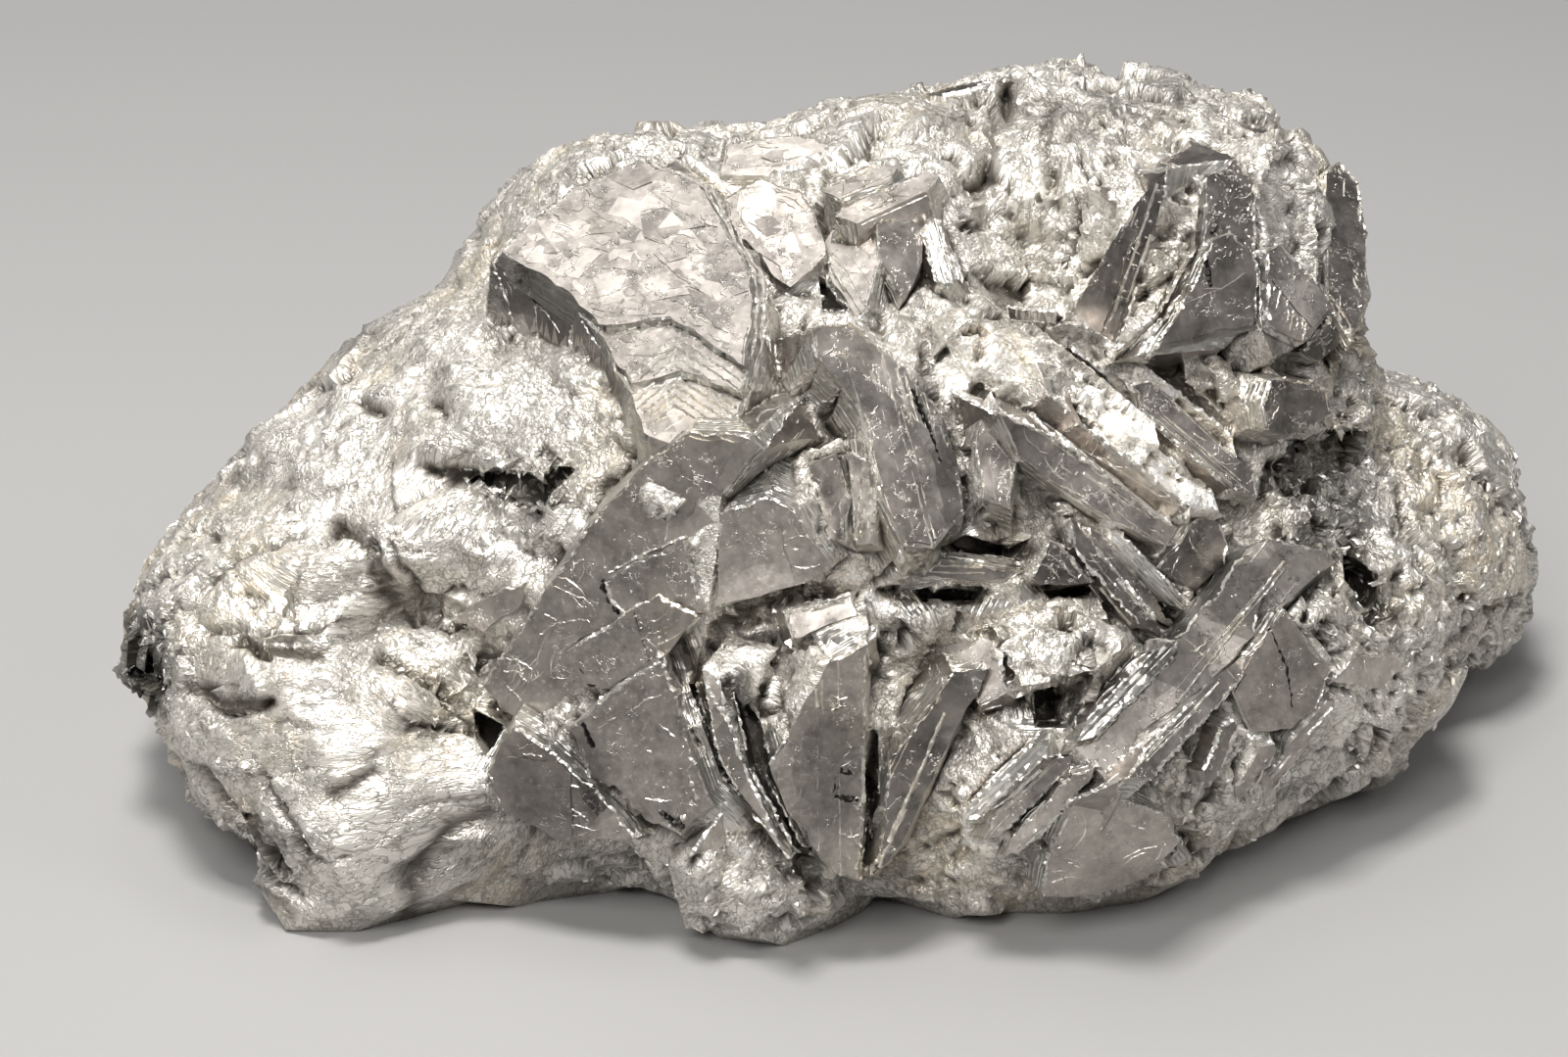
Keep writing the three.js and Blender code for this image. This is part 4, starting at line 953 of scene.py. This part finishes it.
def add_sheet(whole, sheet, normal, rise, tone_layer, draw):
    """Thickens one flat outline with ragged edges and adds it to the joined mesh."""
    for face in sheet.faces:
        if face.calc_area() < 1.5:
            continue
        ring = []
        corners = [np.array(vert.co) for vert in face.verts]
        for start, end in zip(corners, corners[1:] + corners[:1]):
            steps = max(1, int(np.linalg.norm(end - start) / 0.6))
            ring += [start + (end - start) * k / steps for k in range(steps)]
        ring = np.array(ring)
        shake = draw.normal(size=ring.shape) * 0.07
        ring += shake - (shake @ normal)[:, None] * normal
        base = [whole.verts.new(place - normal * 0.08) for place in ring]
        crown = [whole.verts.new(place + normal * rise) for place in ring]
        tone = draw.uniform(0.4, 0.6)
        top = whole.faces.new(crown)
        top[tone_layer] = tone
        under = whole.faces.new(base[::-1])
        under[tone_layer] = tone
        for k in range(len(ring)):
            after = (k + 1) % len(ring)
            side = whole.faces.new((base[k], base[after], crown[after], crown[k]))
            side[tone_layer] = tone
            side.material_index = 1
    sheet.free()


def growth_scales(name, crystals, draw):
    """Patchwork of thin scales on the crystals that face up, each tipped a little its own way."""
    points, faces, tones = [], [], []
    for outline, normal, area in crystals:
        if normal @ OUT < 0.3 or area < 6 or normal[2] < 0.8:
            continue
        flat = Flat(outline, normal)
        for _ in range(int(area * 1.5)):
            sides = draw.integers(5, 9)
            angle = (np.arange(sides) + draw.uniform(-0.3, 0.3, sides)) * 2 * math.pi / sides
            size = math.exp(draw.uniform(math.log(0.5), math.log(3.0)))
            reach = size * draw.uniform(0.6, 1.2, sides)
            ring = np.stack([np.cos(angle) * reach, np.sin(angle) * reach * draw.uniform(0.3, 0.8)], axis=1)
            turn = 0.35 * draw.normal()
            ring = ring @ turned(turn) + draw.uniform(flat.low, flat.high)
            if not inside(ring, flat.outline).all():
                continue
            tip = draw.normal(size=2) * 0.02
            rise = draw.uniform(0.01, 0.035) + (ring - ring.mean(axis=0)) @ tip
            place = flat.place(ring)
            start = sum(len(group) for group in points)
            points.append(place + normal * np.clip(rise, 0.004, 0.2)[:, None])
            points.append(place - normal * 0.06)
            faces.append(tuple(range(start, start + sides)))
            faces.append(tuple(range(start + 2 * sides - 1, start + sides - 1, -1)))
            for k in range(sides):
                after = (k + 1) % sides
                faces.append((start + sides + k, start + sides + after, start + after, start + k))
            tones += [draw.uniform(0.1, 0.95)] * (sides + 2)
    return mesh_piece(name, np.concatenate(points), faces, tones)


# ---------------------------------------------------------------- crumbs
# A crumb: the four corners of its crown, along and across, and its faces.
CORNERS = np.array([[1, 0.1], [-0.1, 0.55], [-1, -0.05], [0.15, -0.5]])
CRUMB_FACES = [(0, 1, 2, 3), (7, 6, 5, 4), (0, 4, 5, 1), (1, 5, 6, 2), (2, 6, 7, 3), (3, 7, 4, 0)]


def crumbs(name, skin, count, seed, sizes, wild, ovals, elsewhere, ground=0):
    """One joined mesh of small flat-faced crumbs, mostly in the ovals, on one of the skin's materials."""

    def weight_of(middle, facing, kind):
        front = np.clip(0.25 + facing @ OUT, 0.08, 1)
        crumbly = elsewhere * (0.15 + crystalline(middle, facing)) + within(layout_of(middle), ovals)
        return (kind == ground) * front * (middle[:, 2] > 1.0) * crumbly

    draw = np.random.default_rng(seed)
    places, facing = spots_on(skin, count, seed + 1, weight_of)
    facing = unit(facing + wild * draw.normal(size=(count, 3)))
    side = unit(np.cross(facing, draw.normal(size=(count, 3))))
    along = np.cross(side, facing)
    long = np.exp(draw.uniform(math.log(sizes[0]), math.log(sizes[1]), count)) / 2
    wide = long * draw.uniform(0.4, 1.0, count)
    thick = (long * draw.uniform(0.35, 0.8, count))[:, None, None]
    places = np.clip(places, BOX_LOW + 0.8, BOX_HIGH - 0.8)
    corners = CORNERS[None] * (1 + draw.uniform(-0.35, 0.35, (count, 4, 2)))
    flat = along[:, None] * corners[:, :, :1] * long[:, None, None]
    flat = flat + side[:, None] * corners[:, :, 1:] * wide[:, None, None]
    proud = draw.uniform(0.1, 0.45, count)[:, None, None]
    top = places[:, None] + flat * 0.8 + facing[:, None] * thick * proud
    base = places[:, None] + flat * 1.2 - facing[:, None] * thick * (1 - proud)
    points = np.concatenate([top, base], axis=1).reshape(-1, 3)
    faces = (np.arange(count)[:, None, None] * 8 + np.array(CRUMB_FACES)[None]).reshape(-1, 4)
    return mesh_piece(name, points, faces.tolist(), np.repeat(draw.random(count), 6))


def spots_on(skin, count, seed, weight_of):
    """Random places on the skin's triangles, with the mean outward direction there."""
    mesh = skin.data
    points, normals, triangles = mesh_arrays(mesh)
    points = points / MM
    kind = np.empty(len(triangles), dtype=np.int32)
    mesh.polygons.foreach_get("material_index", kind)
    a, b, c = (points[triangles[:, k]] for k in range(3))
    area = np.linalg.norm(np.cross(b - a, c - a), axis=1) / 2
    facing = normals[triangles].mean(axis=1)
    weight = area * weight_of((a + b + c) / 3, facing, kind)
    draw = np.random.default_rng(seed)
    chosen = draw.choice(len(triangles), count, p=weight / weight.sum())
    u, v = draw.random((2, count, 1))
    flip = u + v > 1
    u, v = np.where(flip, 1 - u, u), np.where(flip, 1 - v, v)
    spots = a[chosen] + (b - a)[chosen] * u + (c - a)[chosen] * v
    return spots, unit(facing[chosen])


# ---------------------------------------------------------------- shared shader groups
class Nodes:
    """A node tree with short ways to add nodes and link values."""

    def __init__(self, tree):
        self.tree = tree

    def add(self, kind, **settings):
        node = self.tree.nodes.new(kind)
        for key, value in settings.items():
            setattr(node, key, value)
        return node

    def feed(self, socket, value):
        if isinstance(value, bpy.types.NodeSocket):
            self.tree.links.new(value, socket)
        else:
            socket.default_value = value

    def maths(self, operation, a, b=0.0):
        node = self.add("ShaderNodeMath", operation=operation)
        self.feed(node.inputs[0], a)
        self.feed(node.inputs[1], b)
        return node.outputs[0]

    def vector(self, operation, a, b=None, scale=None):
        node = self.add("ShaderNodeVectorMath", operation=operation)
        self.feed(node.inputs[0], a)
        if b is not None:
            self.feed(node.inputs[1], b)
        if scale is not None:
            self.feed(node.inputs["Scale"], scale)
        return node.outputs["Value" if operation == "DOT_PRODUCT" else "Vector"]

    def attribute(self, name, output="Fac"):
        return self.add("ShaderNodeAttribute", attribute_name=name).outputs[output]

    def place(self):
        """Places on the object in mm."""
        coordinates = self.add("ShaderNodeTexCoord").outputs["Object"]
        return self.vector("SCALE", coordinates, scale=1 / MM)

    def noise(self, vector, scale, detail=3.0, rough=0.55):
        node = self.add("ShaderNodeTexNoise")
        self.feed(node.inputs["Vector"], vector)
        node.inputs["Scale"].default_value = scale
        node.inputs["Detail"].default_value = detail
        node.inputs["Roughness"].default_value = rough
        return node.outputs[0]

    def noise_colour(self, vector, scale):
        node = self.add("ShaderNodeTexNoise")
        self.feed(node.inputs["Vector"], vector)
        node.inputs["Scale"].default_value = scale
        return node.outputs["Color"]

    def span(self, value, start, end, low=0.0, high=1.0):
        node = self.add("ShaderNodeMapRange")
        self.feed(node.inputs["Value"], value)
        for socket, number in zip(node.inputs[1:5], (start, end, low, high)):
            self.feed(socket, number)
        return node.outputs[0]

    def blend(self, factor, a, b):
        node = self.add("ShaderNodeMix", data_type="RGBA")
        self.feed(node.inputs["Factor"], factor)
        self.feed(node.inputs["A"], a)
        self.feed(node.inputs["B"], b)
        return node.outputs["Result"]

    def group(self, tree, **values):
        node = self.add("ShaderNodeGroup", node_tree=tree)
        for key, value in values.items():
            self.feed(node.inputs[key.replace("_", " ")], value)
        return node


def new_group(name, inputs, outputs):
    """A shared group with its inputs and outputs named."""
    tree = bpy.data.node_groups.new(name, "ShaderNodeTree")
    for label, kind in inputs:
        tree.interface.new_socket(label, in_out="INPUT", socket_type=kind)
    for label, kind in outputs:
        tree.interface.new_socket(label, in_out="OUTPUT", socket_type=kind)
    nodes = Nodes(tree)
    return tree, nodes, nodes.add("NodeGroupInput").outputs, nodes.add("NodeGroupOutput").inputs


def facets_group():
    """Height of a surface broken into small tilted facets."""
    tree, nodes, given, result = new_group(
        "broken facets",
        [("Vector", "NodeSocketVector"), ("Scale", "NodeSocketFloat"), ("Tilt", "NodeSocketFloat")],
        [("Height", "NodeSocketFloat"), ("Chance", "NodeSocketFloat")],
    )
    cells = nodes.add("ShaderNodeTexVoronoi")
    scaled = nodes.vector("SCALE", given["Vector"], scale=given["Scale"])
    nodes.feed(cells.inputs["Vector"], scaled)
    cells.inputs["Scale"].default_value = 1.0
    offset = nodes.vector("SUBTRACT", scaled, cells.outputs["Position"])
    slope = nodes.vector("SUBTRACT", cells.outputs["Color"], (0.5, 0.5, 0.5))
    height = nodes.maths("MULTIPLY", nodes.vector("DOT_PRODUCT", offset, slope), given["Tilt"])
    nodes.feed(result["Height"], nodes.maths("DIVIDE", height, given["Scale"]))
    split = nodes.add("ShaderNodeSeparateColor")
    nodes.feed(split.inputs[0], cells.outputs["Color"])
    nodes.feed(result["Chance"], split.outputs[2])
    return tree


def tarnish_and_painted_shade_group():
    """Warm patches of tarnish over a base colour, with painted shade darkening the hollows and a factor of
    painted light and shade on top.
    """
    tree, nodes, given, result = new_group(
        "tarnish_and_painted_shade",
        [("Color", "NodeSocketColor"), ("Vector", "NodeSocketVector"), ("Hollow", "NodeSocketFloat"),
         ("Warmth", "NodeSocketFloat"), ("Shade", "NodeSocketFloat")],
        [("Color", "NodeSocketColor")],
    )
    broad = nodes.span(nodes.noise(given["Vector"], 0.12, 2.0), 0.5, 0.7)
    fine = nodes.span(nodes.noise(given["Vector"], 0.9, 3.0), 0.35, 0.7)
    patch = nodes.maths("MULTIPLY", nodes.maths("MULTIPLY", broad, fine), given["Warmth"])
    warm = nodes.blend(patch, given["Color"], (0.80, 0.69, 0.51, 1))
    # painted shade: the hollows are darkened towards a near-black brown
    hollow_shade = nodes.span(given["Hollow"], 0.15, 0.9, 0.0, 0.9)
    hollow_shaded = nodes.blend(hollow_shade, warm, (0.09, 0.078, 0.06, 1))
    # painted light and shade: the colour is scaled by the shade factor, no paler than the brightest
    shaded = nodes.vector("MINIMUM", nodes.vector("SCALE", hollow_shaded, scale=given["Shade"]), BRIGHTEST)
    nodes.feed(result["Color"], shaded)
    return tree


# ---------------------------------------------------------------- materials
def new_material(name):
    """A material with a bare shader."""
    material = bpy.data.materials.new(name)
    material.use_nodes = True
    material.node_tree.nodes.clear()
    nodes = Nodes(material.node_tree)
    output = nodes.add("ShaderNodeOutputMaterial")
    shader = nodes.add("ShaderNodeBsdfPrincipled")
    nodes.feed(output.inputs[0], shader.outputs[0])
    return material, nodes, shader.inputs


def bump(nodes, height):
    """A normal bent by a height in mm."""
    node = nodes.add("ShaderNodeBump")
    node.inputs["Strength"].default_value = 1.0
    node.inputs["Distance"].default_value = MM
    nodes.feed(node.inputs["Height"], height)
    return node.outputs[0]


def coat(nodes, shader, tarnish_and_painted_shade, metallic, roughness, height, **given):
    """Feeds a shader its tarnished colour with painted light and shade, its polish and its bent normal."""
    nodes.feed(shader["Base Color"], nodes.group(tarnish_and_painted_shade, **given).outputs[0])
    shader["Metallic"].default_value = metallic
    nodes.feed(shader["Roughness"], roughness)
    nodes.feed(shader["Normal"], bump(nodes, height))


def cracks(nodes, vector, scale, width):
    """1 along the thin cracks between the cells of a broken surface, 0 inside them."""
    cells = nodes.add("ShaderNodeTexVoronoi", feature="DISTANCE_TO_EDGE")
    nodes.feed(cells.inputs["Vector"], vector)
    cells.inputs["Scale"].default_value = scale
    return nodes.span(cells.outputs["Distance"], 0.0, width, 1.0, 0.0)


def granular_material(facets, tarnish_and_painted_shade):
    """The granular mass: crackled foil, warm in patches, with painted shade in its hollows."""
    material, nodes, shader = new_material("granular_pyrite")
    drawn = nodes.attribute("drawn", "Vector")
    coarse = nodes.attribute("coarse")
    shaken = nodes.vector("ADD", drawn, nodes.vector("SCALE", nodes.noise_colour(drawn, 1.3), scale=0.9))
    small = nodes.group(facets, Vector=shaken, Scale=1.7, Tilt=nodes.span(coarse, 0, 1, 0.35, 0.6))
    crinkle = nodes.maths("MULTIPLY", nodes.noise(drawn, 2.6, 3.0, 0.6), nodes.span(coarse, 0, 1, 0.14, 0.22))
    shown = nodes.span(nodes.noise(drawn, 0.7, 2.0), 0.42, 0.6, 0.1, 0.75)
    crack = nodes.maths("MULTIPLY", cracks(nodes, shaken, 1.7, 0.085), shown)
    wander = nodes.maths("ABSOLUTE", nodes.maths("SUBTRACT", nodes.noise(drawn, 1.5, 4.0, 0.6), 0.5))
    crack = nodes.maths("MAXIMUM", crack, nodes.span(wander, 0.0, 0.03, 0.7, 0.0))
    height = nodes.maths("ADD", small.outputs["Height"], crinkle)
    height = nodes.maths("SUBTRACT", height, nodes.maths("MULTIPLY", crack, 0.04))
    base = nodes.blend(small.outputs["Chance"], (0.65, 0.622, 0.573, 1), (0.87, 0.836, 0.775, 1))
    lined = nodes.blend(crack, base, (0.16, 0.148, 0.125, 1))
    coat(
        nodes, shader, tarnish_and_painted_shade, 0.72, nodes.span(small.outputs["Chance"], 0, 1, 0.38, 0.52), height,
        Color=lined, Vector=nodes.place(), Hollow=nodes.attribute("hollow"), Warmth=0.7,
        Shade=nodes.attribute("shade")
    )
    return material


def crystal_material(tarnish_and_painted_shade):
    """Crystal faces: dark steely mirrors with soft mottling, faint waves and fine dust."""
    material, nodes, shader = new_material("crystal_face")
    place = nodes.place()
    mottle = nodes.noise(place, 0.5, 4.0, 0.6)
    smudge = nodes.noise(place, 1.7, 3.0, 0.6)
    level = nodes.maths("ADD", nodes.span(mottle, 0.3, 0.7, -0.3, 0.3), nodes.attribute("tone"))
    level = nodes.maths("ADD", level, nodes.span(smudge, 0.3, 0.7, -0.2, 0.2))
    base = nodes.blend(level, (0.212, 0.193, 0.176, 1), (0.572, 0.527, 0.482, 1))
    dust = nodes.span(nodes.noise(place, 3.4, 2.0, 0.7), 0.62, 0.72, 0.0, 0.6)
    dusty = nodes.blend(dust, base, (0.66, 0.64, 0.6, 1))
    wander = nodes.maths("ABSOLUTE", nodes.maths("SUBTRACT", nodes.noise(place, 0.8, 4.0, 0.65), 0.5))
    shown = nodes.span(nodes.noise(place, 0.45, 2.0), 0.5, 0.6, 0.0, 0.8)
    line = nodes.maths("MULTIPLY", nodes.span(wander, 0.0, 0.014, 1.0, 0.0), shown)
    dusty = nodes.blend(line, dusty, (0.72, 0.7, 0.66, 1))
    swell = nodes.maths("MULTIPLY", nodes.noise(place, 0.3, 1.0), 0.12)
    grit = nodes.maths("MULTIPLY", nodes.noise(place, 2.6, 1.0, 0.6), 0.006)
    height = nodes.maths("ADD", nodes.maths("ADD", swell, grit), nodes.maths("MULTIPLY", line, 0.03))
    coat(
        nodes, shader, tarnish_and_painted_shade, 0.92, nodes.span(mottle, 0.3, 0.7, 0.24, 0.36), height,
        Color=dusty, Vector=place, Hollow=0.0, Warmth=0.15, Shade=nodes.attribute("shade")
    )
    return material


def wall_material(facets, tarnish_and_painted_shade):
    """Broken edges of the crystals: fine layers, one over another."""
    material, nodes, shader = new_material("crystal_edge")
    place = nodes.place()
    layers = nodes.add("ShaderNodeTexNoise", noise_dimensions="2D")
    join = nodes.add("ShaderNodeCombineXYZ")
    nodes.feed(join.inputs[0], nodes.maths("MULTIPLY", nodes.attribute("layer"), 4.5))
    nodes.feed(join.inputs[1], nodes.maths("MULTIPLY", nodes.attribute("tone"), 40.0))
    nodes.feed(layers.inputs["Vector"], join.outputs[0])
    layers.inputs["Scale"].default_value = 1.0
    small = nodes.group(facets, Vector=place, Scale=2.6, Tilt=0.55)
    height = nodes.maths("ADD", nodes.maths("MULTIPLY", layers.outputs[0], 0.16), small.outputs["Height"])
    base = nodes.blend(layers.outputs[0], (0.36, 0.35, 0.33, 1), (0.74, 0.72, 0.67, 1))
    coat(
        nodes, shader, tarnish_and_painted_shade, 0.88, 0.36, height,
        Color=base, Vector=place, Hollow=nodes.attribute("hollow"), Warmth=0.5,
        Shade=nodes.attribute("shade")
    )
    return material


def crumb_and_highlight_material(facets, tarnish_and_painted_shade):
    """Loose-looking crumbs and growth lines, and the painted highlight of the upper rims: bright, each a
    little lighter or darker.
    """
    material, nodes, shader = new_material("pyrite_crumb_and_highlight")
    place = nodes.place()
    small = nodes.group(facets, Vector=place, Scale=4.0, Tilt=0.7)
    base = nodes.blend(nodes.attribute("tone"), (0.66, 0.645, 0.60, 1), (0.88, 0.86, 0.81, 1))
    coat(
        nodes, shader, tarnish_and_painted_shade, 0.85, 0.42, small.outputs["Height"],
        Color=base, Vector=place, Hollow=0.0, Warmth=0.8, Shade=1.0
    )
    return material


def floor_material():
    """Plain pale floor."""
    material, nodes, shader = new_material("pale_floor")
    shader["Base Color"].default_value = (0.36, 0.356, 0.352, 1)
    shader["Roughness"].default_value = 0.85
    return material


# ---------------------------------------------------------------- camera, floor and light
def add_camera():
    """The camera, straight in front of the show side."""
    data = bpy.data.cameras.new("camera")
    data.lens = CAMERA_LENS
    data.sensor_width = SENSOR
    camera = add_object("camera", data)
    camera.location = Vector(PLANE_ORIGIN * MM) + Vector(OUT) * VIEW_DISTANCE
    camera.rotation_euler = (-Vector(OUT)).to_track_quat("-Z", "Y").to_euler()
    bpy.context.scene.camera = camera


def add_floor():
    """The floor under everything."""
    bpy.ops.object.select_all(action="DESELECT")
    bpy.ops.mesh.primitive_plane_add(size=FLOOR_SIZE)
    floor = bpy.context.object
    floor.name = "floor"
    floor.data.materials.append(floor_material())


def add_light(name, place, size, energy, colour):
    """A square soft light."""
    data = bpy.data.lights.new(name, "AREA")
    data.size = size
    data.energy = energy
    data.color = colour
    light = add_object(name, data)
    light.location = place
    light.rotation_euler = (Vector(LIT_PLACE) - Vector(place)).to_track_quat("-Z", "Y").to_euler()


def add_lights():
    """Four soft lights in a dim room."""
    world = bpy.data.worlds.new("studio")
    bpy.context.scene.world = world
    world.use_nodes = True
    world.node_tree.nodes["Background"].inputs[0].default_value = (0.07, 0.07, 0.075, 1)
    add_light("panel", (-0.20, 0.24, 0.66), 0.6, 1.9, (1, 0.985, 0.97))
    add_light("key", (-0.06, -0.08, 0.52), 0.12, 2.6, (1, 0.985, 0.965))
    add_light("front", (-0.13, -0.34, 0.38), 0.24, 1.5, (1, 0.98, 0.965))
    add_light("right", (0.37, -0.13, 0.33), 0.2, 0.35, (1, 0.99, 0.98))


# ---------------------------------------------------------------- assembly
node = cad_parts["pyrite_cluster"]
facets, tarnish_and_painted_shade = facets_group(), tarnish_and_painted_shade_group()
granular = granular_material(facets, tarnish_and_painted_shade)
face = crystal_material(tarnish_and_painted_shade)
edge = wall_material(facets, tarnish_and_painted_shade)
crumb_and_highlight = crumb_and_highlight_material(facets, tarnish_and_painted_shade)

skin, crystals = make_skin(node)
for material in (granular, face, edge):
    skin.data.materials.append(material)
bpy.ops.object.select_all(action="DESELECT")
skin.select_set(True)
bpy.context.view_layer.objects.active = skin
bpy.ops.object.shade_smooth_by_angle(angle=SMOOTH)
for polygon in skin.data.polygons:
    polygon.use_smooth = polygon.material_index != 1

draw = np.random.default_rng(60)
marks = growth_arcs(crystals, draw) + laid_lines(crystals, draw, HAIRLINES, wide=0.16)
marks += laid_lines(crystals, draw, CHIPPED + BENDS, wide=0.3)
# the rims are bright only on the upper borders: partly a painted highlight
marks += highlight_rims(crystals, draw) + striae(crystals, draw)
lines = ridges("growth_lines", marks, seed=61)
lines.data.materials.append(crumb_and_highlight)
# painted shadow: dark lines laid along the plates' steps
shadow_seams = ridges("shadow_seams", laid_lines(crystals, draw, SHADOW_SEAMS, wide=0.5), seed=63, rise=0.3)
shadow_seams.data.attributes["shade"].data.foreach_set("value", [SEAM_PAINTED_SHADOW] * len(shadow_seams.data.polygons))
shadow_seams.data.materials.append(face)
scales = growth_scales("growth_scales", crystals, np.random.default_rng(64))
scales.data.materials.append(face)
sheets = growth_sheets("growth_sheets", crystals, np.random.default_rng(62))
for material in (face, edge):
    sheets.data.materials.append(material)
grains = crumbs(
    "crumbs", skin, count=3400, seed=40, sizes=(0.35, 1.0), wild=0.2, ovals=CRUMBLY, elsewhere=0.12
)
grains.data.materials.append(crumb_and_highlight)
specks = crumbs(
    "specks", skin, count=1300, seed=48, sizes=(0.13, 0.4), wild=0.3, ovals=SPECKLED, elsewhere=0.04, ground=1
)
specks.data.materials.append(crumb_and_highlight)
chunks = crumbs(
    "chunks", skin, count=420, seed=44, sizes=(0.7, 1.8), wild=0.5, ovals=CHUNKY, elsewhere=0.0
)
chunks.data.materials.append(granular)

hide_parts("pyrite_cluster")
for piece in (skin, lines, shadow_seams, scales, sheets, grains, specks, chunks):
    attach(piece, "root")
add_camera()
add_floor()
add_lights()
bpy.context.scene.view_settings.view_transform = "Standard"
